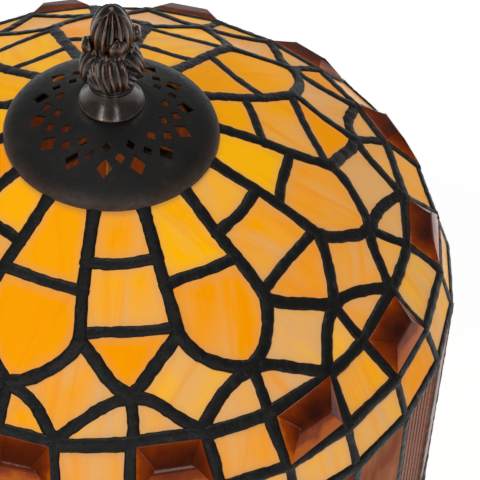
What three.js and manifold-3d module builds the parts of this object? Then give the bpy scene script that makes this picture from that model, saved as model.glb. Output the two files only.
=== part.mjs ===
// A leaded art-glass table lamp: a domed mosaic shade with a drum skirt, on a turned bronze stand.
// Millimetres, +Z up. The origin is on the table, on the lamp's axis. Angles run from -Y towards +X.
import * as THREE from "three";
import { mergeVertices } from "three/addons/utils/BufferGeometryUtils.js";
import Module from "manifold-3d";

const wasm = await Module();
wasm.setup();

// ---------------------------------------------------------------- driving dimensions
const GAP = 0.3; // clearance between pieces that touch
const ROUND = 32; // sides of a large turned piece
const COLUMN_ROUND = 24; // sides of a slender turned piece
const SMALL_ROUND = 20; // sides of a small turned piece

// Mosaic: seven repeats of four cells round the shade
const REPEATS = 7;
const CELLS_PER_REPEAT = 4;
const CELLS = REPEATS * CELLS_PER_REPEAT;
const GLASS = 3; // thickness of the glass
const SOLDER = 4.6; // width of a solder line
const PANEL_GAP = 0.4; // seam between two panels

// Shade: radius of each row, and the drop of each row below the one above
const CAP_RIM_Z = 500; // underside of the vent cap
const CROWN_INSET = 3; // crown's edge inside the cap's
const CROWN_TOP_RISE = 0.7; // crown's top edge above the cap's rim
const SHOULDER_R = 109;
const SHOULDER_DROP = 29.7;
const TIP_R = 131;
const TIP_DROP = 15;
const JEWEL_TOP_R = 150;
const JEWEL_TOP_DROP = 11;
const JEWEL_BOTTOM_R = 169;
const JEWEL_BOTTOM_DROP = 19;
const BAND_BOTTOM_R = 177;
const BAND_DROP = 23;
const DRUM_R = 178;
const DRUM_DROP = 130;
const FOOT_ROW_DROP = 20;
const RIM_HEIGHT = 4;
const RIM_WALL = 4.6;
const JEWEL_RISE = 8.5; // how far a jewel stands out of its row
const JEWEL_RIDGE = [0.52, 0.07]; // width and depth of a jewel's ridge as shares of its foot
const JEWEL_GIRDLE = 1; // straight wall of a jewel above the glass

// Vent cap
const CAP_R = 53;
const CAP_SHEET = 1;
const CAP_SEAT_MARGIN = 0.4; // flat seat round the finial's flange
const CAP_RISE = 21;
const CAP_BORE_R = 3.6;
const CAP_TURN = (-9.3 * Math.PI) / 180; // a third of a vent's pitch round from the petals
const VENTS = 14;
const VENT_ROWS = [
  // radius, width and height of each ring of diamonds, and its turn in vent steps
  { r: 36.2, w: 8, h: 9.5, turn: 0 },
  { r: 31.4, w: 5.2, h: 5.6, turn: 0.5 },
  { r: 26.3, w: 5, h: 5.6, turn: 0 },
];

// Shade support
const RING_CLEARANCE = 0.5; // top ring inside the crown
const TOP_RING_WALL = 3;
const TOP_RING_HEIGHT = 5.6;
const TOP_RING_DROP = 1.6; // ring's foot below the cap's rim
const WHEEL_RIM_WALL = 6;
const WHEEL_HEIGHT = 3;
const WHEEL_HUB_R = 10;
const WHEEL_ARM = 7;
const WHEEL_ARMS = 3;
const NUT_FLATS = 14;
const NUT_HEIGHT = 5;
const WASHER_HEIGHT = 1.2;
const WASHER_R = 14;

// Stand
const FELT = 2;
const FELT_INSET = 2;
const FOOT_R = 95;
const FOOT_EDGE = 13; // height of the upright edge
const FOOT_TOP_Z = 52;
const FOOT_NECK_R = 24;
const FOOT_WALL = 11; // thickness of the upright edge
const CAVITY_SLOPE_RUN = 28; // width of the cavity roof's slope
const CAVITY_ROOF_Z = 26;
const WEIGHT_CLEARANCE = 12; // weight inside the cavity's wall
const WEIGHT_HEIGHT = 14;
const CORD_BUSHING_R = 4.8;
const CORD_BORE_R = 3.7;
const CORD_FLANGE_R = 6.2;
const CORD_FLANGE = 2;
const LOWER_HEIGHT = 97.7;
const KNOP_HEIGHT = 37.7;
const KNOP_R = 25;
const UPPER_HEIGHT = 139.7;
const PIPE_R = 4.85;
const PIPE_BORE_R = 3.2;
const PIPE_CLEARANCE = 0.35;
const PIPE_IN_HUB = 7;

// Lamp cluster: two sockets that lean up and out
const HUB_R = 15;
const HUB_HEIGHT = 30;
const SOCKETS = [
  { name: "1", side: 1 },
  { name: "2", side: -1 },
];
const SOCKET_TILT = (35 * Math.PI) / 180;
const NIPPLE_R = 4.85;
const NIPPLE_IN_HUB = 6;
const NIPPLE_LENGTH = 18;
const SOCKET_STANDOFF = 5; // socket's cap from the hub's side
const SOCKET_CAP_LENGTH = 18;
const SOCKET_R = 17.5;
const SOCKET_SHEET = 1;
const SOCKET_SHELL_LENGTH = 36;
const CORE_WALL = 1.6;
const CORE_IN_CAP = 4; // depth of the core inside the socket's cap
const CORE_FLOOR = 12;
const BULB_BASE_R = 13;
const BULB_BASE_LENGTH = 25;
const BULB_NECK_R = 13.6;
const BULB_R = 30;
const BULB_LENGTH = 108;
const RISER_R = 3.1;
const RISER_IN_HUB = 8;

// Pull chains
const SPOUT_R = 4;
const SPOUT_BORE_R = 2.3;
const SPOUT_DROP = 10; // spout's foot below the socket's underside
const SPOUT_IN_SHELL = 14;
const SPOUT_ALONG = 8; // spout's axis from the shell's lower end
const BEAD_R = 1.6;
const BEAD_PITCH = 4;
const BEADS = 24;
const CHAIN_LINK_R = 0.8;
const CHAIN_IN_SPOUT = 6;
const KNOB_R = 5;
const KNOB_LENGTH = 16;

// Finial
const FINIAL_FLANGE_R = 15.6;
const FINIAL_NECK_R = 9.2;
const FINIAL_BULB_R = 14.8;
const FINIAL_WAIST_R = 8.6;
const FINIAL_BUD_R = 10.6;
const FINIAL_HEIGHT = 61;
const FINIAL_BASE_EDGE = 1.4;
const FINIAL_BORE_DEPTH = 12;

// ---------------------------------------------------------------- materials
const finish = (color, roughness, metalness, extra = {}) =>
  new THREE.MeshStandardMaterial({ color, roughness, metalness, ...extra });
const MATERIALS = {
  bronze: finish(0x2a211d, 0.45, 0.9),
  blackened: finish(0x1c1b1b, 0.55, 0.7),
  brass: finish(0xb08d4a, 0.35, 1),
  iron: finish(0x3a3a3c, 0.8, 0.6),
  felt: finish(0x1d3326, 0.95, 0),
  phenolic: finish(0x141212, 0.5, 0),
  amber: finish(0xf2a21c, 0.25, 0),
  brown: finish(0x9a4f2a, 0.3, 0),
  jewel: finish(0x6b2408, 0.08, 0, { transparent: true, opacity: 0.85 }),
  bulb: finish(0xf6efe2, 0.2, 0),
};

// ---------------------------------------------------------------- solids
// A closed geometry as a manifold solid, facing out.
function solidOf(geometry) {
  const open = geometry.index ? geometry.toNonIndexed() : geometry;
  const bare = new THREE.BufferGeometry().setAttribute("position", open.getAttribute("position"));
  const merged = mergeVertices(bare, 1e-4);
  const triangles = [];
  const index = merged.index.array;
  for (let i = 0; i < index.length; i += 3) {
    const [a, b, c] = [index[i], index[i + 1], index[i + 2]];
    if (a !== b && b !== c && a !== c) triangles.push(a, b, c);
  }
  const make = (corners) =>
    new wasm.Manifold(
      new wasm.Mesh({
        numProp: 3,
        vertProperties: merged.attributes.position.array,
        triVerts: new Uint32Array(corners),
      }),
    );
  const solid = make(triangles);
  return solid.volume() > 0 ? solid : make(triangles.reverse());
}

// The geometry of a manifold solid.
function geometryOf(solid) {
  const mesh = solid.getMesh();
  const points = new Float32Array(mesh.numVert * 3);
  for (let i = 0; i < mesh.numVert; i++) {
    points.set(mesh.vertProperties.subarray(i * mesh.numProp, i * mesh.numProp + 3), i * 3);
  }
  const geometry = new THREE.BufferGeometry();
  geometry.setAttribute("position", new THREE.BufferAttribute(points, 3));
  geometry.setIndex(new THREE.BufferAttribute(new Uint32Array(mesh.triVerts), 1));
  return geometry;
}

// A profile of [radius, height] pairs turned about Z. It starts and ends on the axis, or closes on itself.
function turned(profile, sides = ROUND) {
  const closed = profile[0][0] > 0 ? [...profile, profile[0]] : profile;
  const points = closed.map(([r, z]) => new THREE.Vector2(r, z));
  return solidOf(new THREE.LatheGeometry(points, sides).rotateX(Math.PI / 2));
}

const tube = (outer, inner, z0, z1, sides) =>
  turned([[inner, z0], [outer, z0], [outer, z1], [inner, z1]], sides);
const rod = (r, z0, z1, sides = SMALL_ROUND) => turned([[0, z0], [r, z0], [r, z1], [0, z1]], sides);

// A solid whose cross-sections are the given loops of [x, y, z] points, all with the same count.
function lofted(loops) {
  const n = loops[0].length;
  const points = loops.flat();
  const faces = [];
  for (let k = 0; k + 1 < loops.length; k++) {
    for (let i = 0; i < n; i++) {
      const [a, b] = [k * n + i, k * n + ((i + 1) % n)];
      faces.push(a, b, b + n, a, b + n, a + n);
    }
  }
  const last = (loops.length - 1) * n;
  for (let i = 1; i + 1 < n; i++) {
    faces.push(0, i + 1, i, last, last + i, last + i + 1);
  }
  const geometry = new THREE.BufferGeometry();
  geometry.setAttribute("position", new THREE.Float32BufferAttribute(points.flat(), 3));
  geometry.setIndex(faces);
  return solidOf(geometry);
}

// A curved sheet between two grids of points, outer and inner, closed along its four edges.
function sheet(outer, inner) {
  const [rows, columns] = [outer.length, outer[0].length];
  const points = [...outer.flat(), ...inner.flat()];
  const at = (layer, i, j) => layer * rows * columns + i * columns + j;
  const faces = [];
  const quad = (a, b, c, d) => faces.push(a, b, c, a, c, d);
  for (let i = 0; i + 1 < rows; i++) {
    for (let j = 0; j + 1 < columns; j++) {
      quad(at(0, i, j), at(0, i + 1, j), at(0, i + 1, j + 1), at(0, i, j + 1));
      quad(at(1, i, j), at(1, i, j + 1), at(1, i + 1, j + 1), at(1, i + 1, j));
    }
    quad(at(0, i, 0), at(1, i, 0), at(1, i + 1, 0), at(0, i + 1, 0));
    const e = columns - 1;
    quad(at(0, i, e), at(0, i + 1, e), at(1, i + 1, e), at(1, i, e));
  }
  for (let j = 0; j + 1 < columns; j++) {
    quad(at(0, 0, j), at(0, 0, j + 1), at(1, 0, j + 1), at(1, 0, j));
    const e = rows - 1;
    quad(at(0, e, j), at(1, e, j), at(1, e, j + 1), at(0, e, j + 1));
  }
  const geometry = new THREE.BufferGeometry();
  geometry.setAttribute("position", new THREE.Float32BufferAttribute(points.flat(), 3));
  geometry.setIndex(faces);
  return solidOf(geometry);
}

// A profile moved sideways by a distance, to the left of its direction of travel for a positive one.
function offsetProfile(profile, distance) {
  const normal = (a, b) => {
    const [dr, dz] = [b[0] - a[0], b[1] - a[1]];
    const length = Math.hypot(dr, dz);
    return [-dz / length, dr / length];
  };
  return profile.map((p, i) => {
    const before = i > 0 ? normal(profile[i - 1], p) : normal(p, profile[i + 1]);
    const after = i + 1 < profile.length ? normal(p, profile[i + 1]) : before;
    const sum = [before[0] + after[0], before[1] + after[1]];
    const share = (2 * distance) / (sum[0] ** 2 + sum[1] ** 2);
    return [p[0] + sum[0] * share, p[1] + sum[1] * share];
  });
}

// The inner face of a sheet, its foot cut level with the outer face's.
function innerFace(profile, thickness) {
  const inner = offsetProfile(profile, -thickness);
  const [before, foot] = inner.slice(-2);
  const footZ = profile[profile.length - 1][1];
  const along = (footZ - foot[1]) / (before[1] - foot[1]);
  foot[0] += (before[0] - foot[0]) * along;
  foot[1] = footZ;
  return inner;
}

const root = new THREE.Group();
function add(name, solid, material, parent = root) {
  const mesh = new THREE.Mesh(geometryOf(solid), material);
  mesh.name = name;
  parent.add(mesh);
  return mesh;
}

// ---------------------------------------------------------------- shade
const CROWN_R = CAP_R - CROWN_INSET;
const CROWN_Z = CAP_RIM_Z + CROWN_TOP_RISE;
const SHOULDER_Z = CROWN_Z - SHOULDER_DROP;
const TIP_Z = SHOULDER_Z - TIP_DROP;
const JEWEL_TOP_Z = TIP_Z - JEWEL_TOP_DROP;
const JEWEL_BOTTOM_Z = JEWEL_TOP_Z - JEWEL_BOTTOM_DROP;
const BAND_BOTTOM_Z = JEWEL_BOTTOM_Z - BAND_DROP;
const DRUM_TOP_Z = BAND_BOTTOM_Z - GAP;
const DRUM_BOTTOM_Z = DRUM_TOP_Z - DRUM_DROP;
const SHADE_BOTTOM_Z = DRUM_BOTTOM_Z - FOOT_ROW_DROP;

const DOME = [
  [CROWN_R, CROWN_Z],
  [SHOULDER_R, SHOULDER_Z],
  [TIP_R, TIP_Z],
  [JEWEL_TOP_R, JEWEL_TOP_Z],
  [JEWEL_BOTTOM_R, JEWEL_BOTTOM_Z],
  [BAND_BOTTOM_R, BAND_BOTTOM_Z],
];
const FLAT_ROWS = 2; // the first rows of the dome are flat petals, each two cells wide
const DRUM = [
  [DRUM_R, DRUM_TOP_Z],
  [DRUM_R, DRUM_BOTTOM_Z],
  [DRUM_R, SHADE_BOTTOM_Z],
];

const TOP_RING_Z = CAP_RIM_Z - TOP_RING_DROP;

const cellAngle = (cell) => (2 * Math.PI * cell) / CELLS;
const onRing = (r, z, angle) => [r * Math.sin(angle), -r * Math.cos(angle), z];
// The top ring fits inside the flats of the crown's inner face.
const TOP_RING_R = innerFace(DOME, GLASS)[0][0] * Math.cos(cellAngle(1)) - RING_CLEARANCE;

// A glass panel from one cell line to another, one flat facet to a cell.
function glassPanel(profile, firstCell, flatRows) {
  const inner = innerFace(profile, GLASS);
  const grid = (line) =>
    line.map(([r, z], row) => {
      const points = [];
      for (let k = 0; k <= CELLS_PER_REPEAT; k++) {
        const seam = k === 0 ? 1 : k === CELLS_PER_REPEAT ? -1 : 0;
        const angle = cellAngle(firstCell + k) + (seam * PANEL_GAP) / 2 / r;
        const inPetal = row < flatRows && k % 2 === 1;
        points.push(onRing(inPetal ? r * Math.cos(cellAngle(1)) : r, z, angle));
      }
      return points;
    });
  return sheet(grid(profile), grid(inner));
}

// The corners of a jewel's cell, its middle and the outward normal.
function jewelSeat(cell) {
  const corner = (r, z, c) => new THREE.Vector3(...onRing(r, z, cellAngle(c)));
  const corners = [
    corner(JEWEL_TOP_R, JEWEL_TOP_Z, cell),
    corner(JEWEL_TOP_R, JEWEL_TOP_Z, cell + 1),
    corner(JEWEL_BOTTOM_R, JEWEL_BOTTOM_Z, cell + 1),
    corner(JEWEL_BOTTOM_R, JEWEL_BOTTOM_Z, cell),
  ];
  const middle = corners.reduce((sum, p) => sum.add(p), new THREE.Vector3()).multiplyScalar(1 / 4);
  const across = corners[1].clone().sub(corners[0]);
  const down = corners[3].clone().add(corners[2]).sub(corners[0]).sub(corners[1]);
  return { corners, middle, across: across.normalize(), normal: down.cross(across).normalize() };
}

// The seat's outline, drawn in by a margin, raised along the normal and scaled in width and depth.
function seatLoop(seat, margin, rise, [wide, deep] = [1, 1]) {
  const { corners, middle, across, normal } = seat;
  const n = corners.length;
  const drawnIn = corners.map((p, i) => {
    const before = corners[(i + n - 1) % n].clone().sub(p).normalize();
    const after = corners[(i + 1) % n].clone().sub(p).normalize();
    const sine = before.clone().cross(after).length();
    return p.clone().add(before.add(after).multiplyScalar(margin / sine));
  });
  return drawnIn.map((p) => {
    const sideways = p.sub(middle).dot(across);
    p.multiplyScalar(deep).addScaledVector(across, sideways * (wide - deep));
    return p.add(middle).addScaledVector(normal, rise).toArray();
  });
}

function makeShade() {
  const window = SOLDER / 2;
  for (let k = 0; k < REPEATS; k++) {
    const first = k * CELLS_PER_REPEAT - 1;
    let dome = glassPanel(DOME, first, FLAT_ROWS);
    for (const [n, cell] of [[2 * k + 1, first + 1], [2 * k + 2, first + 3]]) {
      const seat = jewelSeat(cell);
      const cut = lofted([seatLoop(seat, window, -2 * GLASS), seatLoop(seat, window, 2 * GLASS)]);
      dome = dome.subtract(cut);
      const jewel = lofted([
        seatLoop(seat, window + GAP, -GLASS),
        seatLoop(seat, window + GAP, JEWEL_GIRDLE),
        seatLoop(seat, window + GAP, JEWEL_RISE, JEWEL_RIDGE),
      ]);
      add("jewel_" + String(n).padStart(2, "0"), jewel, MATERIALS.jewel);
    }
    add("dome_panel_" + (k + 1), dome, MATERIALS.amber);
    add("skirt_panel_" + (k + 1), glassPanel(DRUM, first, 0), MATERIALS.brown);
  }
  const rimTop = SHADE_BOTTOM_Z - GAP;
  const inside = DRUM_R - RIM_WALL;
  const rim = tube(DRUM_R + 0.8, inside, rimTop - RIM_HEIGHT, rimTop, CELLS);
  add("shade_bottom_rim", rim, MATERIALS.blackened);
  const ringTop = TOP_RING_Z + TOP_RING_HEIGHT;
  const ring = tube(TOP_RING_R, TOP_RING_R - TOP_RING_WALL, TOP_RING_Z, ringTop, CELLS);
  add("shade_top_ring", ring, MATERIALS.brass);
}

// ---------------------------------------------------------------- vent cap
// The cap's outer face, from the bore to the turned-down edge.
const CAP_FACE = [
  [CAP_BORE_R, CAP_RISE],
  [FINIAL_FLANGE_R + CAP_SEAT_MARGIN, CAP_RISE],
  [0.5 * CAP_R, 0.79 * CAP_RISE],
  [0.68 * CAP_R, 0.58 * CAP_RISE],
  [0.83 * CAP_R, 0.4 * CAP_RISE],
  [0.93 * CAP_R, 0.24 * CAP_RISE],
  [0.985 * CAP_R, 0.11 * CAP_RISE],
  [CAP_R, 0],
];

function makeVentCap() {
  const inner = offsetProfile(CAP_FACE, -CAP_SHEET);
  inner[0][0] = CAP_BORE_R;
  inner[inner.length - 1][1] = 0;
  const section = [...CAP_FACE, ...inner.reverse()].map(([r, z]) => [r, CAP_RIM_Z + z]);
  let cap = turned(section, 2 * VENTS);
  for (const { r, w, h, turn } of VENT_ROWS) {
    for (let k = 0; k < VENTS; k++) {
      const angle = CAP_TURN + (2 * Math.PI * (k + turn)) / VENTS;
      const corner = (dr, dt, z) => onRing(r + dr, z, angle + dt / r);
      const loop = (z) => [
        corner(-h / 2, 0, z),
        corner(0, w / 2, z),
        corner(h / 2, 0, z),
        corner(0, -w / 2, z),
      ];
      cap = cap.subtract(lofted([loop(CAP_RIM_Z - 1), loop(CAP_RIM_Z + CAP_RISE + 4)]));
    }
  }
  add("vent_cap", cap, MATERIALS.blackened);
}

function makeFinial() {
  const foot = CAP_RIM_Z + CAP_RISE + GAP;
  const bore = RISER_R + PIPE_CLEARANCE;
  const boreTop = foot + FINIAL_BORE_DEPTH;
  const up = (share) => foot + share * FINIAL_HEIGHT;
  const profile = [
    [bore, boreTop],
    [bore, foot],
    [FINIAL_FLANGE_R, foot],
    [FINIAL_FLANGE_R, foot + FINIAL_BASE_EDGE],
    [FINIAL_NECK_R + 2.4, up(0.11)],
    [FINIAL_NECK_R, up(0.2)],
    [FINIAL_NECK_R + 1, up(0.22)],
    [FINIAL_BULB_R - 1.4, up(0.28)],
    [FINIAL_BULB_R, up(0.36)],
    [FINIAL_BULB_R - 1.2, up(0.46)],
    [FINIAL_WAIST_R, up(0.59)],
    [FINIAL_BUD_R, up(0.66)],
    [FINIAL_BUD_R - 0.6, up(0.77)],
    [FINIAL_BUD_R - 4, up(0.92)],
    [0, up(1)],
  ];
  const closed = [[0, boreTop], ...profile];
  add("finial", turned(closed, COLUMN_ROUND), MATERIALS.bronze);
}

// ---------------------------------------------------------------- shade support
function hexNut(z0, boreR) {
  const corners = NUT_FLATS / Math.sqrt(3);
  const hex = rod(corners, z0, z0 + NUT_HEIGHT, 6);
  return hex.subtract(rod(boreR, z0 - 1, z0 + NUT_HEIGHT + 1));
}

function makeShadeSupport(hubTop) {
  const wheelTop = TOP_RING_Z - GAP;
  const wheelFoot = wheelTop - WHEEL_HEIGHT;
  const rimInside = TOP_RING_R - WHEEL_RIM_WALL;
  let wheel = tube(TOP_RING_R, rimInside, wheelFoot, wheelTop, CELLS);
  wheel = wheel.add(rod(WHEEL_HUB_R, wheelFoot, wheelTop + 2));
  for (let k = 0; k < WHEEL_ARMS; k++) {
    const arm = new THREE.BoxGeometry(WHEEL_ARM, rimInside + 2, WHEEL_HEIGHT);
    arm.translate(0, -(rimInside + 2) / 2, wheelFoot + WHEEL_HEIGHT / 2);
    arm.rotateZ((2 * Math.PI * (k + 0.5)) / WHEEL_ARMS);
    wheel = wheel.add(solidOf(arm));
  }
  const bore = RISER_R + PIPE_CLEARANCE;
  wheel = wheel.subtract(rod(bore, wheelFoot - 1, wheelTop + 4));
  add("shade_wheel", wheel, MATERIALS.brass);
  add("riser_nut", hexNut(wheelFoot - GAP - NUT_HEIGHT, bore), MATERIALS.brass);
  const riserTop = CAP_RIM_Z + CAP_RISE + GAP + FINIAL_BORE_DEPTH - 1;
  add("riser_rod", rod(RISER_R, hubTop - RISER_IN_HUB + GAP, riserTop), MATERIALS.brass);
}

// ---------------------------------------------------------------- stand
const FOOT_BOTTOM_Z = FELT + GAP;
const EDGE_TOP_Z = FOOT_BOTTOM_Z + FOOT_EDGE;
const CAVITY_R = FOOT_R - FOOT_WALL;
const CAVITY_ROOF_R = CAVITY_R - CAVITY_SLOPE_RUN;
const WEIGHT_R = CAVITY_R - WEIGHT_CLEARANCE;
const COLUMN_BORE_R = PIPE_R + PIPE_CLEARANCE;
// Height of the cavity's sloping roof at a radius.
const roofAt = (r) =>
  CAVITY_ROOF_Z - ((CAVITY_ROOF_Z - EDGE_TOP_Z) * (r - CAVITY_ROOF_R)) / (CAVITY_R - CAVITY_ROOF_R);

function makeFoot() {
  // From the upright edge to the neck, as shares of the way in and the way up.
  const slope = [[0, 0], [0.04, 0.08], [0.1, 0.1], [0.14, 0.2], [0.28, 0.34], [0.5, 0.46], [0.72, 0.58]];
  slope.push([0.86, 0.73], [0.96, 0.92], [1, 1]);
  const outside = slope.map(([across, up]) => [
    FOOT_R + (FOOT_NECK_R - FOOT_R) * across,
    EDGE_TOP_Z + (FOOT_TOP_Z - EDGE_TOP_Z) * up,
  ]);
  outside.unshift([FOOT_R, FOOT_BOTTOM_Z]);
  const inside = [
    [COLUMN_BORE_R, FOOT_TOP_Z],
    [COLUMN_BORE_R, CAVITY_ROOF_Z],
    [CAVITY_ROOF_R, CAVITY_ROOF_Z],
    [CAVITY_R, EDGE_TOP_Z],
    [CAVITY_R, FOOT_BOTTOM_Z],
  ];
  const cordZ = FOOT_BOTTOM_Z + FOOT_EDGE / 2;
  const holeR = CORD_BUSHING_R + GAP;
  const hole = new THREE.CylinderGeometry(holeR, holeR, 4 * FOOT_WALL, SMALL_ROUND);
  hole.translate(0, CAVITY_R, cordZ);
  add("base_foot", turned([...outside, ...inside]).subtract(solidOf(hole)), MATERIALS.bronze);
  add("base_felt", rod(FOOT_R - FELT_INSET, 0, FELT, ROUND), MATERIALS.felt);

  const weightTop = CAVITY_ROOF_Z - GAP;
  const weightFoot = weightTop - WEIGHT_HEIGHT;
  const weight = turned([
    [COLUMN_BORE_R, weightFoot],
    [WEIGHT_R, weightFoot],
    [WEIGHT_R, roofAt(WEIGHT_R) - 2 * GAP],
    [CAVITY_ROOF_R - GAP, weightTop],
    [COLUMN_BORE_R, weightTop],
  ]);
  add("base_weight", weight, MATERIALS.iron);
  const washerTop = weightFoot - GAP;
  const washerFoot = washerTop - WASHER_HEIGHT;
  add("base_washer", tube(WASHER_R, COLUMN_BORE_R, washerFoot, washerTop, SMALL_ROUND), MATERIALS.iron);
  add("base_nut", hexNut(washerFoot - GAP - NUT_HEIGHT, COLUMN_BORE_R), MATERIALS.brass);

  // The bushing lines the hole in the back of the foot, its flange outside.
  const flange = FOOT_R + GAP;
  const bushing = turned([
    [CORD_BORE_R, CAVITY_R - 2],
    [CORD_BUSHING_R, CAVITY_R - 2],
    [CORD_BUSHING_R, flange],
    [CORD_FLANGE_R, flange],
    [CORD_FLANGE_R, flange + CORD_FLANGE],
    [CORD_BORE_R, flange + CORD_FLANGE],
  ], SMALL_ROUND);
  const mesh = add("cord_bushing", bushing, MATERIALS.phenolic);
  mesh.rotation.x = -Math.PI / 2;
  mesh.position.z = cordZ;
}

const LOWER_Z = FOOT_TOP_Z + GAP;
const KNOP_Z = LOWER_Z + LOWER_HEIGHT + GAP;
const UPPER_Z = KNOP_Z + KNOP_HEIGHT + GAP;

function makeColumn(hubFoot) {
  // A turned piece on the pipe: radii against shares of its height.
  const ringed = (foot, height, rows) => {
    const outside = rows.map(([r, share]) => [r, foot + share * height]);
    const bore = [[COLUMN_BORE_R, foot + height], [COLUMN_BORE_R, foot]];
    return turned([...outside, ...bore], COLUMN_ROUND);
  };
  const lower = ringed(LOWER_Z, LOWER_HEIGHT, [
    [FOOT_NECK_R, 0],
    [FOOT_NECK_R, 0.04],
    [18, 0.09],
    [14, 0.18],
    [17, 0.35],
    [21, 0.53],
    [19, 0.74],
    [13, 0.92],
    [16, 0.96],
    [16, 1],
  ]);
  const knop = ringed(KNOP_Z, KNOP_HEIGHT, [
    [16, 0],
    [19, 0.1],
    [KNOP_R - 1.5, 0.29],
    [KNOP_R, 0.5],
    [KNOP_R - 1.5, 0.71],
    [19, 0.9],
    [15, 1],
  ]);
  const upper = ringed(UPPER_Z, UPPER_HEIGHT, [
    [15, 0],
    [15, 0.03],
    [11, 0.09],
    [13.5, 0.29],
    [12, 0.57],
    [10, 0.84],
    [12, 0.87],
    [12, 0.91],
    [20, 0.98],
    [20, 1],
  ]);
  add("column_lower", lower, MATERIALS.bronze);
  add("column_knop", knop, MATERIALS.bronze);
  add("column_upper", upper, MATERIALS.bronze);
  const pipeFoot = CAVITY_ROOF_Z - WEIGHT_HEIGHT - WASHER_HEIGHT - NUT_HEIGHT - 4 * GAP - 1;
  add("threaded_pipe", tube(PIPE_R, PIPE_BORE_R, pipeFoot, hubFoot + PIPE_IN_HUB - GAP, SMALL_ROUND), MATERIALS.iron);
}

// ---------------------------------------------------------------- lamp cluster
// Sockets are turned along Z, then tilted out of the hub's middle.
function socketGroup(side, hubMiddle) {
  const group = new THREE.Group();
  group.position.z = hubMiddle;
  group.rotation.y = side * (Math.PI / 2 - SOCKET_TILT);
  root.add(group);
  return group;
}

function makeCluster(hubFoot) {
  const hubTop = hubFoot + HUB_HEIGHT;
  const hubMiddle = hubFoot + HUB_HEIGHT / 2;
  let hub = turned([
    [0, hubFoot],
    [HUB_R - 4, hubFoot],
    [HUB_R, hubFoot + 6],
    [HUB_R, hubTop - 8],
    [HUB_R - 6, hubTop],
    [0, hubTop],
  ]);
  hub = hub.subtract(rod(PIPE_R + PIPE_CLEARANCE, hubFoot - 1, hubFoot + PIPE_IN_HUB));
  hub = hub.subtract(rod(RISER_R + PIPE_CLEARANCE, hubTop - RISER_IN_HUB, hubTop + 1));

  const capStart = HUB_R + SOCKET_STANDOFF;
  const capEnd = capStart + SOCKET_CAP_LENGTH;
  const shellStart = capEnd + GAP;
  const shellEnd = shellStart + SOCKET_SHELL_LENGTH;
  const coreR = SOCKET_R - SOCKET_SHEET - GAP;
  const coreStart = capEnd - CORE_IN_CAP;
  const coreFloor = coreStart + CORE_FLOOR;
  const nippleBore = NIPPLE_R + PIPE_CLEARANCE;
  const nippleStart = HUB_R - NIPPLE_IN_HUB;
  const nippleEnd = nippleStart + NIPPLE_LENGTH;

  for (const { name, side } of SOCKETS) {
    const group = socketGroup(side, hubMiddle);
    group.updateMatrixWorld(true);
    const pocket = rod(nippleBore, nippleStart - GAP, 2 * HUB_R);
    hub = hub.subtract(solidOf(geometryOf(pocket).applyMatrix4(group.matrixWorld)));
    add("socket_arm_" + name, tube(NIPPLE_R, PIPE_BORE_R, nippleStart, nippleEnd, SMALL_ROUND), MATERIALS.brass, group);

    let cap = turned([
      [nippleBore, capStart],
      [8.5, capStart],
      [8.5, capStart + 5],
      [13, capStart + 8],
      [SOCKET_R, coreStart - 1],
      [SOCKET_R, capEnd],
      [SOCKET_R - SOCKET_SHEET, capEnd],
      [SOCKET_R - SOCKET_SHEET, coreStart - 0.6],
      [nippleBore, capStart + 8.5],
    ], SMALL_ROUND);
    const shell = tube(SOCKET_R, SOCKET_R - SOCKET_SHEET, shellStart, shellEnd, SMALL_ROUND);
    const core = turned([
      [0, coreStart],
      [coreR, coreStart],
      [coreR, shellEnd - 1],
      [coreR - CORE_WALL, shellEnd - 1],
      [coreR - CORE_WALL, coreFloor],
      [0, coreFloor],
    ], SMALL_ROUND);

    // The chain's spout hangs straight down from the underside of the socket's shell.
    const spoutAlong = shellStart + SPOUT_ALONG;
    const spoutX = side * (spoutAlong * Math.cos(SOCKET_TILT) + SOCKET_R * Math.sin(SOCKET_TILT));
    const underside = hubMiddle + spoutAlong * Math.sin(SOCKET_TILT) - SOCKET_R * Math.cos(SOCKET_TILT);
    const spoutFoot = underside - SPOUT_DROP;
    const spoutTop = underside + SPOUT_IN_SHELL;
    const toGroup = group.matrixWorld.clone().invert();
    const upright = (solid) => solidOf(geometryOf(solid).translate(spoutX, 0, 0).applyMatrix4(toGroup));
    const spout = upright(rod(SPOUT_R, spoutFoot, spoutTop, 12));
    const bored = upright(rod(SPOUT_BORE_R, spoutFoot - 1, spoutTop + 1, 12));
    const clear = rod(SOCKET_R - SOCKET_SHEET, 0, 2 * shellEnd);
    const shellWithSpout = shell.add(spout.subtract(clear)).subtract(bored);
    add("socket_cap_" + name, cap, MATERIALS.brass, group);
    add("socket_shell_" + name, shellWithSpout, MATERIALS.brass, group);
    add("socket_core_" + name, core, MATERIALS.phenolic, group);

    const bulbFoot = coreFloor + GAP;
    const baseEnd = bulbFoot + BULB_BASE_LENGTH;
    const bulbEnd = bulbFoot + BULB_LENGTH;
    const globe = bulbEnd - BULB_R;
    add("bulb_" + name, turned([
      [0, bulbFoot],
      [5, bulbFoot],
      [BULB_BASE_R, bulbFoot + 5],
      [BULB_BASE_R, baseEnd],
      [BULB_NECK_R, baseEnd + 1],
      [BULB_NECK_R + 1.5, baseEnd + 9],
      [BULB_R - 6, globe - 18],
      [BULB_R, globe],
      [BULB_R * 0.87, globe + BULB_R * 0.5],
      [BULB_R * 0.5, globe + BULB_R * 0.87],
      [0, bulbEnd],
    ], COLUMN_ROUND), MATERIALS.bulb, group);

    makePullChain(name, spoutX, spoutFoot);
  }
  add("cluster_body", hub, MATERIALS.brass);
  return hubTop;
}

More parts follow.
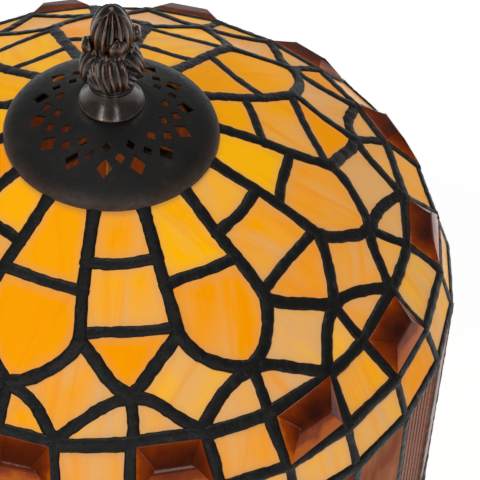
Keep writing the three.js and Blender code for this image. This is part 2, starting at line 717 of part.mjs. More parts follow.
function makePullChain(name, x, spoutFoot) {
  const top = spoutFoot + CHAIN_IN_SPOUT;
  const profile = [[0, top]];
  for (let k = 0; k < BEADS; k++) {
    const middle = top - BEAD_PITCH * (k + 0.5);
    profile.push([CHAIN_LINK_R, middle + BEAD_PITCH / 2], [BEAD_R, middle]);
  }
  const foot = top - BEAD_PITCH * BEADS;
  profile.push([CHAIN_LINK_R, foot], [0, foot]);
  add("pull_chain_" + name, turned(profile, 6), MATERIALS.brass).position.x = x;
  const knobTop = foot - GAP;
  add("chain_knob_" + name, turned([
    [0, knobTop],
    [2, knobTop],
    [2.6, knobTop - 3],
    [KNOB_R - 0.6, knobTop - 6],
    [KNOB_R, knobTop - 9],
    [KNOB_R - 1.6, knobTop - 13],
    [0, knobTop - KNOB_LENGTH],
  ], 16), MATERIALS.bronze).position.x = x;
}

// ---------------------------------------------------------------- the lamp
const HUB_FOOT_Z = UPPER_Z + UPPER_HEIGHT + GAP;
makeFoot();
makeColumn(HUB_FOOT_Z);
const hubTop = makeCluster(HUB_FOOT_Z);
makeShadeSupport(hubTop);
makeShade();
makeVentCap();
makeFinial();

export default root;
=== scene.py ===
import math

import bmesh
import bpy
import numpy as np
from mathutils import Matrix, Vector


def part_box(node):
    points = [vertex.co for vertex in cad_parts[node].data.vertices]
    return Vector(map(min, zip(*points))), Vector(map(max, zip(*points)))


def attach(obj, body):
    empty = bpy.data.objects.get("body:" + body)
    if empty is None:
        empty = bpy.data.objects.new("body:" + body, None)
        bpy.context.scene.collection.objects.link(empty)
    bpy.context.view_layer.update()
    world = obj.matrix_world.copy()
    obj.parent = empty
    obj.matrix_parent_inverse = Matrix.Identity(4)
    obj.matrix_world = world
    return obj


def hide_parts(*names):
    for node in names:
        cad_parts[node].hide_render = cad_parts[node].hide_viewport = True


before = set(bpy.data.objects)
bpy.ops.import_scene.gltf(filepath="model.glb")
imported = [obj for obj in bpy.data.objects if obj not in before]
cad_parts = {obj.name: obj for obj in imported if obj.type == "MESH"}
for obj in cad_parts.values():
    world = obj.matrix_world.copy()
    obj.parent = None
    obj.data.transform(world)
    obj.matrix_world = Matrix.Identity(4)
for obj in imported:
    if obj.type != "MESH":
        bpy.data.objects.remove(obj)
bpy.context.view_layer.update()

MM = 0.001
TURN = 2 * math.pi

# ---------------------------------------------------------------- sizes taken from the frame
CAP_LOW, CAP_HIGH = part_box("vent_cap")
FINIAL_LOW, FINIAL_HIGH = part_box("finial")
CAP_RIM_Z = CAP_LOW.z
CAP_R = CAP_HIGH.x
DRUM_R = abs(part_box("skirt_panel_2")[1].x)

# ---------------------------------------------------------------- camera, floor and light
VIEW_AZIMUTH = math.radians(-8.4935)
VIEW_ELEVATION = math.radians(48.083)
VIEW_ROLL = math.radians(3.4777)
VIEW_DISTANCE = 1.1327
VIEW_ASIDE = -0.06579  # how far the cap's rim stands to the left of the view's middle
VIEW_ABOVE = 0.04901  # and above it
LENS = 173.9


def make_camera():
    turn = Matrix.Rotation(VIEW_AZIMUTH, 3, "Z")
    back = turn @ Vector((0, -math.cos(VIEW_ELEVATION), math.sin(VIEW_ELEVATION)))
    right = turn @ Vector((1, 0, 0))
    up = back.cross(right)
    c, s = math.cos(VIEW_ROLL), math.sin(VIEW_ROLL)
    across, upright = right * c + up * s, up * c - right * s
    data = bpy.data.cameras.new("camera")
    data.lens = LENS
    data.clip_start, data.clip_end = 0.01, 50
    camera = bpy.data.objects.new("camera", data)
    bpy.context.scene.collection.objects.link(camera)
    rim = Vector((0, 0, CAP_RIM_Z))
    place = rim + back * VIEW_DISTANCE - right * VIEW_ASIDE - up * VIEW_ABOVE
    axes = Matrix((across, upright, back)).transposed().to_4x4()
    camera.matrix_world = Matrix.Translation(place) @ axes
    bpy.context.scene.camera = camera


def softbox(name, place, size, power, colour=(1, 1, 1)):
    data = bpy.data.lights.new(name, "AREA")
    data.shape = "RECTANGLE"
    data.size, data.size_y = size
    data.energy = power
    data.color = colour
    light = bpy.data.objects.new(name, data)
    bpy.context.scene.collection.objects.link(light)
    light.location = place
    light.visible_camera = False
    aim = Vector((0, 0, 0.42)) - Vector(place)
    light.rotation_euler = aim.to_track_quat("-Z", "Y").to_euler()


def make_studio():
    scene = bpy.context.scene
    scene.view_settings.view_transform = "Standard"
    world = bpy.data.worlds.new("studio")
    world.use_nodes = True
    sky = world.node_tree.nodes["Background"]
    sky.inputs["Color"].default_value = (1, 1, 1, 1)
    sky.inputs["Strength"].default_value = 0.2
    scene.world = world
    softbox("softbox_left", (-0.98, -1.22, 1.5), (0.3, 1.6), 9)
    softbox("softbox_right", (0.4, -1.5, 1.5), (0.25, 1.6), 7)
    softbox("softbox_back", (0.0, 0.9, 2.4), (1.2, 0.8), 15)

    bpy.ops.mesh.primitive_plane_add(size=14)
    floor = bpy.context.object
    floor.name = "studio_floor"
    paint, _, shader = new_material("studio_floor", (0.9, 0.9, 0.9), 0.8, 0)
    shader.inputs["Specular IOR Level"].default_value = 0.1
    shader.inputs["Emission Color"].default_value = (1, 1, 1, 1)
    shader.inputs["Emission Strength"].default_value = 0.55
    floor.data.materials.append(paint)


# ---------------------------------------------------------------- material building
def new_material(name, colour, roughness, metallic):
    material = bpy.data.materials.new(name)
    material.use_nodes = True
    tree = material.node_tree
    shader = tree.nodes["Principled BSDF"]
    shader.inputs["Base Color"].default_value = (*colour, 1)
    shader.inputs["Roughness"].default_value = roughness
    shader.inputs["Metallic"].default_value = metallic
    return material, tree, shader


def node(tree, kind, **values):
    made = tree.nodes.new(kind)
    for key, value in values.items():
        if hasattr(made, key):
            setattr(made, key, value)
        else:
            made.inputs[key.replace("_", " ")].default_value = value
    return made


def object_points(tree):
    return node(tree, "ShaderNodeTexCoord").outputs["Object"]


def fine_noise(tree, scale, detail=3.0, stretch=None, source=None, roughness=0.5, distortion=0.0):
    points = source if source is not None else object_points(tree)
    if stretch:
        mapping = node(tree, "ShaderNodeMapping")
        mapping.inputs["Scale"].default_value = stretch
        tree.links.new(points, mapping.inputs["Vector"])
        points = mapping.outputs["Vector"]
    texture = node(
        tree, "ShaderNodeTexNoise", Scale=scale, Detail=detail, Roughness=roughness, Distortion=distortion
    )
    tree.links.new(points, texture.inputs["Vector"])
    return texture.outputs["Fac"]


def ramp(tree, factor, stops):
    made = node(tree, "ShaderNodeValToRGB")
    bar = made.color_ramp
    while len(bar.elements) < len(stops):
        bar.elements.new(0.5)
    for element, (place, colour) in zip(bar.elements, stops):
        element.position = place
        element.color = (*colour, 1) if not isinstance(colour, float) else (colour, colour, colour, 1)
    tree.links.new(factor, made.inputs["Fac"])
    return made.outputs["Color"]


def attribute(tree, name):
    made = node(tree, "ShaderNodeAttribute")
    made.attribute_name = name
    return made.outputs["Fac"]


def blend_colours(tree, factor, first, second, mode="MIX"):
    made = node(tree, "ShaderNodeMix", data_type="RGBA", blend_type=mode)
    for value, place in ((factor, 0), (first, 6), (second, 7)):
        if isinstance(value, bpy.types.NodeSocket):
            tree.links.new(value, made.inputs[place])
        elif place == 0:
            made.inputs[0].default_value = value
        else:
            made.inputs[place].default_value = (*value, 1)
    return made.outputs[2]


def arithmetic(tree, operation, first, second):
    made = node(tree, "ShaderNodeMath", operation=operation)
    for i, value in enumerate((first, second)):
        if isinstance(value, bpy.types.NodeSocket):
            tree.links.new(value, made.inputs[i])
        else:
            made.inputs[i].default_value = value
    return made.outputs[0]


def bump(tree, shader, height, strength, distance, under=None):
    made = node(tree, "ShaderNodeBump", Strength=strength, Distance=distance)
    tree.links.new(height, made.inputs["Height"])
    if under is not None:
        tree.links.new(under, made.inputs["Normal"])
    tree.links.new(made.outputs["Normal"], shader.inputs["Normal"])
    return made.outputs["Normal"]


def uneven_shine(tree, shader, scale, smoothest, roughest, end=0.7):
    """Roughness that wanders between two values."""
    rough = ramp(tree, fine_noise(tree, scale, 3), [(0.3, smoothest), (end, roughest)])
    tree.links.new(rough, shader.inputs["Roughness"])


# ---------------------------------------------------------------- finishes
def opalescent_glass(name, clear, warm, milky, deep, edge, painted_glow, ior, ribbed=False):
    """Streaky art glass: clear to warm by piece, with milky and deep wisps, a painted pale halo of light
    along the solder, and a painted glow as if lit from within.
    """
    material, tree, shader = new_material(name, clear, 0.2, 0)
    grain = node(tree, "ShaderNodeUVMap", uv_map="grain").outputs["UV"]
    clouds = fine_noise(tree, 30, 2, source=grain)
    wisps = fine_noise(tree, 62, 3, (1.0, 0.2, 1), grain, distortion=0.7)
    streaks = fine_noise(tree, 130, 3, (1.0, 0.1, 1), grain, roughness=0.55, distortion=0.6)
    tint = attribute(tree, "tint")
    pot = blend_colours(tree, attribute(tree, "warmth"), clear, warm)
    lean = arithmetic(tree, "MULTIPLY", clouds, 0.45)
    lean = arithmetic(tree, "ADD", lean, arithmetic(tree, "MULTIPLY", wisps, 0.75))
    lean = arithmetic(tree, "ADD", lean, arithmetic(tree, "MULTIPLY", tint, 0.26))
    away = arithmetic(tree, "SUBTRACT", 1.0, attribute(tree, "edge"))
    lean = arithmetic(tree, "ADD", lean, arithmetic(tree, "MULTIPLY", away, 0.03))
    milk = ramp(tree, lean, [(0.5, 0.0), (0.66, 0.36), (0.88, 1.0)])
    colour = blend_colours(tree, milk, pot, milky)
    depth = ramp(tree, streaks, [(0.5, 0.0), (0.68, 1.0)])
    colour = blend_colours(tree, arithmetic(tree, "MULTIPLY", depth, 0.4), colour, deep)
    # painted light: a pale halo of the edge colour along the solder, patchy with the clouds, and the milk
    # thins towards it
    rim = ramp(tree, attribute(tree, "edge"), [(0.0, 1.0), (0.2, 0.42), (0.75, 0.0)])
    patchy = arithmetic(tree, "ADD", 0.22, clouds)
    colour = blend_colours(tree, arithmetic(tree, "MULTIPLY", rim, patchy), colour, edge)
    tree.links.new(colour, shader.inputs["Base Color"])
    # painted light: the glass glows in its own colour, standing in for the bulbs' light shining through it
    tree.links.new(colour, shader.inputs["Emission Color"])
    shader.inputs["Emission Strength"].default_value = painted_glow
    shader.inputs["IOR"].default_value = ior
    waves = fine_noise(tree, 60, 2, source=grain)
    smooth = bump(tree, shader, waves, 0.15, 0.002)
    if ribbed:
        ribs = node(tree, "ShaderNodeTexWave", wave_type="BANDS", bands_direction="X", wave_profile="SIN")
        ribs.inputs["Scale"].default_value = 62
        ribs.inputs["Distortion"].default_value = 1.6
        ribs.inputs["Detail"].default_value = 1
        ribs.inputs["Detail Scale"].default_value = 0.25
        tree.links.new(grain, ribs.inputs["Vector"])
        bump(tree, shader, ribs.outputs["Fac"], 1.0, 0.0012, smooth)
        shade = blend_colours(tree, arithmetic(tree, "MULTIPLY", ribs.outputs["Fac"], 0.45), colour, deep)
        tree.links.new(shade, shader.inputs["Base Color"])
        tree.links.new(shade, shader.inputs["Emission Color"])
    return material


def pressed_glass():
    """Dark amber pressed jewel glass: painted shade browns it over the ridge, painted light turns it orange
    at the foot and on the faces that look down, and it has a painted glow.
    """
    material, tree, shader = new_material("jewel_glass", (0.16, 0.035, 0.004), 0.1, 0)
    cloud = arithmetic(tree, "MULTIPLY", arithmetic(tree, "SUBTRACT", fine_noise(tree, 75, 4), 0.5), 1.1)
    # painted shade: the higher a point stands on the jewel, the darker it is painted
    painted_ridge_shade = arithmetic(tree, "ADD", arithmetic(tree, "MULTIPLY", attribute(tree, "rise"), 0.7), 0.26)
    level = arithmetic(tree, "ADD", painted_ridge_shade, cloud)
    level = arithmetic(tree, "SUBTRACT", level, arithmetic(tree, "MULTIPLY", attribute(tree, "lit"), 0.6))
    orange, brown, dark, darkest = (0.40, 0.08, 0.001), (0.21, 0.028, 0.0), (0.10, 0.012, 0.0), (
        0.03, 0.004, 0.001
    )
    colour = ramp(tree, level, [(0.0, orange), (0.2, brown), (0.55, dark), (1.0, darkest)])
    tree.links.new(colour, shader.inputs["Base Color"])
    tree.links.new(colour, shader.inputs["Emission Color"])
    # painted light: the jewel glows in its own colour
    shader.inputs["Emission Strength"].default_value = 0.2
    shader.inputs["IOR"].default_value = 1.27
    bump(tree, shader, fine_noise(tree, 140, 2), 0.1, 0.001)
    return material


def solder_patina():
    """Tinned copper foil under a black patina, hammered and pitted by hand work."""
    material, tree, shader = new_material("solder_patina", (0.008, 0.007, 0.006), 0.4, 0)
    mottle = fine_noise(tree, 150, 5)
    colour = ramp(
        tree,
        mottle,
        [(0.35, (0.003, 0.003, 0.003)), (0.6, (0.008, 0.007, 0.006)), (0.8, (0.028, 0.022, 0.018))],
    )
    tree.links.new(colour, shader.inputs["Base Color"])
    uneven_shine(tree, shader, 260, 0.36, 0.6)
    shader.inputs["IOR"].default_value = 1.32
    dents = bump(tree, shader, fine_noise(tree, 230, 2), 0.5, 0.0016)
    bump(tree, shader, fine_noise(tree, 800, 3), 0.35, 0.0005, dents)
    return material


def blackened_spinning():
    """Spun sheet with a baked black finish, browner and a little rubbed towards its edge."""
    material, tree, shader = new_material("blackened_metal", (0.014, 0.013, 0.012), 0.5, 0)
    cloud = fine_noise(tree, 55, 6, roughness=0.65)
    colour = ramp(
        tree,
        cloud,
        [(0.3, (0.007, 0.007, 0.007)), (0.6, (0.014, 0.0125, 0.0115)), (0.8, (0.034, 0.026, 0.020))],
    )
    rub = arithmetic(tree, "MULTIPLY", attribute(tree, "rub"), fine_noise(tree, 300, 4))
    colour = blend_colours(tree, rub, colour, (0.11, 0.062, 0.04))
    tree.links.new(colour, shader.inputs["Base Color"])
    uneven_shine(tree, shader, 420, 0.34, 0.52)
    shader.inputs["IOR"].default_value = 1.33
    grit = bump(tree, shader, fine_noise(tree, 260, 4), 0.35, 0.0006)
    bump(tree, shader, fine_noise(tree, 1400, 2), 0.2, 0.0003, grit)
    return material


def rubbed_bronze():
    """Dark bronze under a thin lacquer, rubbed back to copper along its raised edges, with painted shade
    darkening its grooves.
    """
    dark, copper = (0.034, 0.028, 0.025), (0.34, 0.15, 0.085)
    material, tree, shader = new_material("rubbed_bronze", dark, 0.3, 0.85)
    base = ramp(tree, fine_noise(tree, 140, 4), [(0.3, dark), (0.75, (0.085, 0.066, 0.054))])
    patchy = arithmetic(tree, "ADD", fine_noise(tree, 240, 4, roughness=0.65), 0.2)
    high = ramp(
        tree, arithmetic(tree, "MULTIPLY", attribute(tree, "ridge"), patchy), [(0.42, 0.0), (0.9, 1.0)]
    )
    # painted shade: the low grooves between the raised ribs are painted nearly black
    painted_groove_shade = ramp(tree, attribute(tree, "ridge"), [(0.0, 0.75), (0.3, 0.0)])
    base = blend_colours(tree, painted_groove_shade, base, (0.006, 0.005, 0.005))
    colour = blend_colours(tree, high, base, copper)
    tree.links.new(colour, shader.inputs["Base Color"])
    uneven_shine(tree, shader, 420, 0.2, 0.36, 0.75)
    shader.inputs["Coat Weight"].default_value = 0.4
    shader.inputs["Coat Roughness"].default_value = 0.16
    shader.inputs["Coat IOR"].default_value = 1.5
    bump(tree, shader, fine_noise(tree, 620, 3), 0.22, 0.0004)
    return material


def aged_brass():
    material, tree, shader = new_material("aged_brass", (0.45, 0.29, 0.10), 0.34, 1)
    tarnish = fine_noise(tree, 60, 5)
    colour = ramp(
        tree, tarnish, [(0.3, (0.47, 0.31, 0.11)), (0.6, (0.36, 0.22, 0.075)), (0.85, (0.16, 0.09, 0.035))]
    )
    tree.links.new(colour, shader.inputs["Base Color"])
    uneven_shine(tree, shader, 180, 0.24, 0.5, 0.75)
    bump(tree, shader, fine_noise(tree, 800, 2, (1, 1, 0.2)), 0.1, 0.0003)
    return material


def speckled(name, colour, other, roughness, metallic, scale, depth):
    material, tree, shader = new_material(name, colour, roughness, metallic)
    mixed = ramp(tree, fine_noise(tree, scale, 4), [(0.35, colour), (0.7, other)])
    tree.links.new(mixed, shader.inputs["Base Color"])
    uneven_shine(tree, shader, scale * 2.3, roughness * 0.85, min(1.0, roughness * 1.2))
    bump(tree, shader, fine_noise(tree, scale * 4, 3), 0.4, depth)
    return material


def frosted_bulb():
    material, tree, shader = new_material("frosted_bulb", (0.9, 0.86, 0.78), 0.35, 0)
    frost = ramp(tree, fine_noise(tree, 900, 2), [(0.3, (0.86, 0.82, 0.74)), (0.7, (0.94, 0.9, 0.83))])
    tree.links.new(frost, shader.inputs["Base Color"])
    shader.inputs["Emission Color"].default_value = (1, 0.72, 0.38, 1)
    shader.inputs["Emission Strength"].default_value = 0.5
    bump(tree, shader, fine_noise(tree, 2500, 1), 0.1, 0.0002)
    return material


# ---------------------------------------------------------------- mesh building
def new_piece(name, points, faces, material, smooth=True):
    mesh = bpy.data.meshes.new(name)
    mesh.from_pydata([tuple(p) for p in points], [], [tuple(f) for f in faces])
    mesh.update()
    if smooth:
        mesh.shade_smooth()
    mesh.materials.append(material)
    piece = bpy.data.objects.new(name, mesh)
    bpy.context.scene.collection.objects.link(piece)
    return piece


def line_piece(name, points, edges):
    """Bare points and edges for a tree to grow on."""
    mesh = bpy.data.meshes.new(name)
    mesh.from_pydata([tuple(p) for p in points], edges, [])
    piece = bpy.data.objects.new(name, mesh)
    bpy.context.scene.collection.objects.link(piece)
    return piece


def point_values(piece, name, values):
    made = piece.data.attributes.new(name, "FLOAT", "POINT")
    made.data.foreach_set("value", np.asarray(values, np.float32))


def settle(piece, body, slot, *nodes):
    """The piece rides on its body and stands for the CAD nodes it replaces, which are hidden. The slot is not
    used.
    """
    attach(piece, body)
    if nodes:
        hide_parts(*nodes)
    return piece


def smooth_profile(profile, steps=4):
    """A flowing curve through (r, z) points."""
    p = [np.array(q, float) for q in profile]
    p = [2 * p[0] - p[1], *p, 2 * p[-1] - p[-2]]
    made = []
    for a, b, c, d in zip(p, p[1:], p[2:], p[3:]):
        for k in range(steps):
            t = k / steps
            bend = (2 * a - 5 * b + 4 * c - d) * t**2
            made.append(tuple(0.5 * (2 * b + (c - a) * t + bend + (3 * b - a - 3 * c + d) * t**3)))
    made.append(tuple(p[-2]))
    return made


def lathe_grid(profile, sides, relief=None):
    """Points, faces and raised shares of a profile in millimetres turned about Z.

    relief(r, z, angle) gives how far a point is pushed out and how raised it is, from 0 to 1.
    """
    points, faces, rows, raised = [], [], [], []
    for r, z in profile:
        if r <= 1e-6:
            rows.append([len(points)] * sides)
            points.append((0, 0, z * MM))
            raised.append(0)
            continue
        rows.append(list(range(len(points), len(points) + sides)))
        for k in range(sides):
            angle = TURN * k / sides
            push, high = relief(r, z, angle) if relief else (0, 0)
            points.append(((r + push) * math.sin(angle) * MM, -(r + push) * math.cos(angle) * MM, z * MM))
            raised.append(high)
    pairs = list(zip(rows, rows[1:]))
    if profile[0][0] > 1e-6:
        pairs.append((rows[-1], rows[0]))
    for low, high in pairs:
        for k in range(sides):
            corners = [low[k], low[(k + 1) % sides], high[(k + 1) % sides], high[k]]
            face = list(dict.fromkeys(corners))
            if len(face) > 2:
                faces.append(face)
    return points, faces, raised


def turned(name, profile, material, sides=96, relief=None, place=None, others=()):
    """A turned piece. The profile starts and ends on the axis, or closes on itself."""
    points, faces, raised = lathe_grid(profile, sides, relief)
    for more_points, more_faces, more_raised in others:
        start = len(points)
        points += more_points
        faces += [tuple(start + i for i in face) for face in more_faces]
        raised += more_raised
    if place is not None:
        points = [tuple(place @ Vector(p)) for p in points]
    piece = new_piece(name, points, faces, material)
    point_values(piece, "ridge", raised)
    tidy_mesh(piece)
    return piece


def sharp_edges(piece, degrees):
    piece.data.set_sharp_from_angle(angle=math.radians(degrees))


# ---------------------------------------------------------------- geometry node trees
def step(tree, kind, inputs, **settings):
    """The first output of a new node whose settings are set and whose inputs are set or linked."""
    made = tree.nodes.new(kind)
    for key, value in settings.items():
        setattr(made, key, value)
    for key, value in inputs.items():
        if isinstance(value, bpy.types.NodeSocket):
            tree.links.new(value, made.inputs[key])
        else:
            made.inputs[key].default_value = value
    return made.outputs[0]


def joined(tree, pieces):
    made = tree.nodes.new("GeometryNodeJoinGeometry")
    for piece in pieces:
        tree.links.new(piece, made.inputs[0])
    return step(tree, "GeometryNodeRealizeInstances", {"Geometry": made.outputs[0]})


def new_tree(name, sizes):
    """A tree with named inputs: name to default value, or a material."""
    tree = bpy.data.node_groups.new(name, "GeometryNodeTree")
    tree.is_modifier = True
    tree.interface.new_socket("Geometry", in_out="INPUT", socket_type="NodeSocketGeometry")
    for label, value in sizes.items():
        kind = "Material" if isinstance(
            value, bpy.types.Material
        ) else "Int" if isinstance(value, int) else "Float"
        socket = tree.interface.new_socket(label, in_out="INPUT", socket_type="NodeSocket" + kind)
        socket.default_value = value
    tree.interface.new_socket("Geometry", in_out="OUTPUT", socket_type="NodeSocketGeometry")
    return tree, tree.nodes.new("NodeGroupInput").outputs, tree.nodes.new("NodeGroupOutput").inputs


def grown(piece, tree, sizes, name):
    """The plain mesh that a tree makes of a piece, as a new piece."""
    modifier = piece.modifiers.new(tree.name, "NODES")
    modifier.node_group = tree
    for item in tree.interface.items_tree:
        if item.item_type == "SOCKET" and item.in_out == "INPUT" and item.name in sizes:
            modifier[item.identifier] = sizes[item.name]
    bpy.context.view_layer.update()
    evaluated = piece.evaluated_get(bpy.context.evaluated_depsgraph_get())
    mesh = bpy.data.meshes.new_from_object(evaluated)
    made = bpy.data.objects.new(name, mesh)
    bpy.context.scene.collection.objects.link(made)
    piece.modifiers.remove(modifier)
    bpy.data.objects.remove(piece)
    mesh.name = name
    return made


def cut_away(tree, given, cutter):
    """The tree's piece less a cutter."""
    pieces = {"Mesh 1": given["Geometry"], "Mesh 2": cutter}
    return step(tree, "GeometryNodeMeshBoolean", pieces, operation="DIFFERENCE", solver="EXACT")


def finish_tree(tree, geometry, given, output):
    real = step(tree, "GeometryNodeRealizeInstances", {"Geometry": geometry})
    smooth = step(tree, "GeometryNodeSetShadeSmooth", {"Geometry": real})
    coat = step(tree, "GeometryNodeSetMaterial", {"Geometry": smooth, "Material": given["Material"]})
    tree.links.new(coat, output["Geometry"])


def named_value(tree, name, kind="FLOAT"):
    return step(tree, "GeometryNodeInputNamedAttribute", {"Name": name}, data_type=kind)


def noise_swing(tree, scale, detail, size):
    """Noise about nought, brought up to a swing of about the given size."""
    fac = node(tree, "ShaderNodeTexNoise", Scale=scale, Detail=detail).outputs["Fac"]
    swing = arithmetic(tree, "MULTIPLY", arithmetic(tree, "SUBTRACT", fac, 0.5), size)
    return arithmetic(tree, "MULTIPLY", swing, NOISE_GAIN)


NOISE_GAIN = 4  # noise keeps within a quarter of its middle, so this brings its swing up to the full size


def solder_tree(material):
    """A flat strip of solder along every line, its width wandering, and a puddle at every crossing."""
    sizes = {
        "Step": 2.0 * MM,
        "Unevenness": 0.12,
        "Lumps": 0.15 * MM,
        "Shoulder": 0.55,
        "Shoulder rows": 2,
        "Material": material,
    }
    tree, given, output = new_tree("solder_lines", sizes)
    curve = step(tree, "GeometryNodeMeshToCurve", {"Mesh": given["Geometry"]})
    even = step(tree, "GeometryNodeResampleCurve", {"Curve": curve, "Length": given["Step"]}, mode="LENGTH")
    bead = named_value(tree, "bead")
    outward = named_value(tree, "outward", "FLOAT_VECTOR")
    flat = BEAD_HEIGHT / BEAD
    strip = step(tree, "GeometryNodeCurvePrimitiveQuadrilateral", {"Width": 2 * flat, "Height": 2})
    shoulder = {"Curve": strip, "Radius": given["Shoulder"], "Count": given["Shoulder rows"]}
    section = step(tree, "GeometryNodeFilletCurve", shoulder, mode="POLY")
    grow = arithmetic(tree, "ADD", noise_swing(tree, 210.0, 4.0, given["Unevenness"]), 1.0)
    thick = arithmetic(tree, "MULTIPLY", grow, bead)
    lean = step(tree, "GeometryNodeSetCurveNormal", {"Curve": even, "Normal": outward}, mode="FREE")
    body = {"Curve": lean, "Profile Curve": section, "Scale": thick, "Fill Caps": True}
    sweep = step(tree, "GeometryNodeCurveToMesh", body)

    puddle = (1.16, 1.16, 0.98 * flat)
    drop = {
        "Points": given["Geometry"],
        "Selection": named_value(tree, "crossing", "BOOLEAN"),
        "Instance": step(tree, "GeometryNodeMeshIcoSphere", {"Subdivisions": 2, "Radius": 1}),
        "Rotation": step(tree, "FunctionNodeAlignRotationToVector", {"Vector": outward}),
        "Scale": step(tree, "ShaderNodeVectorMath", {0: bead, 1: puddle}, operation="MULTIPLY"),
    }
    cross = step(tree, "GeometryNodeInstanceOnPoints", drop)

    both = joined(tree, [sweep, cross])
    high = noise_swing(tree, 330.0, 2.0, given["Lumps"])
    normal = step(tree, "GeometryNodeInputNormal", {})
    push = step(tree, "ShaderNodeVectorMath", {0: normal, "Scale": high}, operation="SCALE")
    shift = step(tree, "GeometryNodeSetPosition", {"Geometry": both, "Offset": push})
    finish_tree(tree, shift, given, output)
    return tree


# ---------------------------------------------------------------- the mosaic's layout
# A place in the mosaic is (cell, run): the cell round the shade and the run down its face from the cap's rim.
PANELS = 7
PANEL_CELLS = 4
CELLS = PANELS * PANEL_CELLS
GLASS_SEED = 28
PITCH = 53 * MM  # one unit of run
CELL_TURN = TURN / CELLS
FACE = [  # radius and height under the cap's rim of each row, in millimetres
    (50, 0.7),
    (109, -29),
    (131, -44),
    (150, -55),
    (169, -74),
    (177, -97),
    (178, -97.3),
    (178, -247.3),
]
FACE_R = np.array([r for r, _ in FACE]) * MM
FACE_Z = np.array([z for _, z in FACE]) * MM + CAP_RIM_Z
SPANS = np.hypot(np.diff(FACE_R), np.diff(FACE_Z))
FACE_RUN = (np.concatenate([[0], np.cumsum(SPANS)]) - 3.3 * MM) / PITCH

RUN_TOP = -0.06
SOLDER_TOP = -0.03
POINTED_BARS = (0.48, 1.125)
ROUNDED_BARS = (0.745,)
RUN_SHOULDER = 1.19
RUN_TIP = 1.68
RUN_JEWELS = FACE_RUN[3]
RUN_BAND = FACE_RUN[4]
RUN_DRUM = FACE_RUN[5]
RUN_FOOT = FACE_RUN[7]
RUN_FOOT_ROW = RUN_FOOT - 20 * MM / PITCH

GLASS = 3 * MM
BEAD = 3.5 * MM  # half the width of a strip of solder, whose middle lies in the glass
BEAD_HEIGHT = 2.35 * MM  # half its height
PATH_STEP = 0.05  # run between two points of a solder line


def wander(cell, run):
    """How far hand work strays from the pattern, in cells and in run."""
    a = TURN * cell / CELLS
    calm = np.clip((RUN_DRUM - run) / 0.9, 0.16, 1)
    calm = calm * np.clip(run / 0.5, 0.25, 1) * np.clip((RUN_FOOT - run) / 0.5, 0, 1)
    sideways = 0.05 * np.sin(5 * a + 2.1 * run + 0.6) + 0.04 * np.sin(11 * a - 3.7 * run + 2.2)
    sideways = sideways + 0.03 * np.sin(17 * a + 5.3 * run + 4.0)
    down = 0.013 * np.sin(7 * a + 1.3 * run + 1.1) + 0.012 * np.sin(13 * a - 2.9 * run + 3.4)
    return sideways * calm, down * calm


def face_point(cell, run, lift=0.0):
    """Points on the shade's outer face, raised along its normal."""
    cell, run = np.broadcast_arrays(np.asarray(cell, float), np.asarray(run, float))
    sideways, down = wander(cell, run)
    c, s = cell + sideways, run + down

    def place(c, s):
        r = np.interp(s, FACE_RUN, FACE_R)
        z = np.interp(s, FACE_RUN, FACE_Z)
        petal = (c - 2 * np.round(c / 2)) * CELL_TURN
        facet = (c - np.floor(c) - 0.5) * CELL_TURN
        flat = math.cos(CELL_TURN) / np.cos(petal)
        narrow = math.cos(CELL_TURN / 2) / np.cos(facet)
        share = np.clip((RUN_TIP - s) / (RUN_TIP - RUN_SHOULDER), 0, 1)
        r = r * (share * flat + (1 - share) * narrow)
        angle = c * CELL_TURN
        return np.stack([r * np.sin(angle), -r * np.cos(angle), z], -1)

    here = place(c, s)
    if not np.any(lift):
        return here
    return here + face_normal(c, s) * np.asarray(lift)[..., None]


def face_normal(cell, run):
    r0, r1 = np.interp(run - 0.06, FACE_RUN, FACE_R), np.interp(run + 0.06, FACE_RUN, FACE_R)
    z0, z1 = np.interp(run - 0.06, FACE_RUN, FACE_Z), np.interp(run + 0.06, FACE_RUN, FACE_Z)
    dr, dz = r1 - r0, z1 - z0
    length = np.maximum(np.hypot(dr, dz), 1e-9)
    out, up = -dz / length, dr / length
    angle = np.asarray(cell) * CELL_TURN
    return np.stack([out * np.sin(angle), -out * np.cos(angle), up], -1)


def along(points, share):
    """A place part of the way along a chain of (cell, run) points."""
    p = np.array(points, float)
    steps = np.hypot(np.diff(p[:, 0]) * 0.5, np.diff(p[:, 1]))
    reach = np.concatenate([[0], np.cumsum(steps)])
    reach = reach / max(reach[-1], 1e-9)
    return np.stack([np.interp(share, reach, p[:, 0]), np.interp(share, reach, p[:, 1])], -1)


def upright(cell, top, foot):
    """A straight chain down the shade."""
    return [(cell, top), (cell, foot)]


def petal_bars(centre):
    """The runs of the bars across a petal: two on a pointed one, one on a rounded one."""
    return POINTED_BARS if centre % 4 == 0 else ROUNDED_BARS


def petal_side(centre, side):
    """From a petal's shoulder to its tip: nearly straight on a pointed petal, bowed on a rounded one."""
    pointed = [(1, RUN_SHOULDER), (0.8, 1.30), (0.5, 1.455), (0.2, 1.61), (0, RUN_TIP)]
    bowed = [(1, RUN_SHOULDER), (0.86, 1.31), (0.66, 1.44), (0.4, 1.57), (0.2, 1.64), (0, RUN_TIP)]
    shape = pointed if centre % 4 == 0 else bowed
    return [(centre + side * c, s) for c, s in shape]


def lower_arc(centre, side):
    """From a petal's tip down and out to the foot of the next diamond."""
    shape = [(0, RUN_TIP + 0.02), (0.25, 1.725), (0.5, 1.80), (0.75, 1.92), (1, 2.06)]
    return [(centre + side * c, s) for c, s in shape]


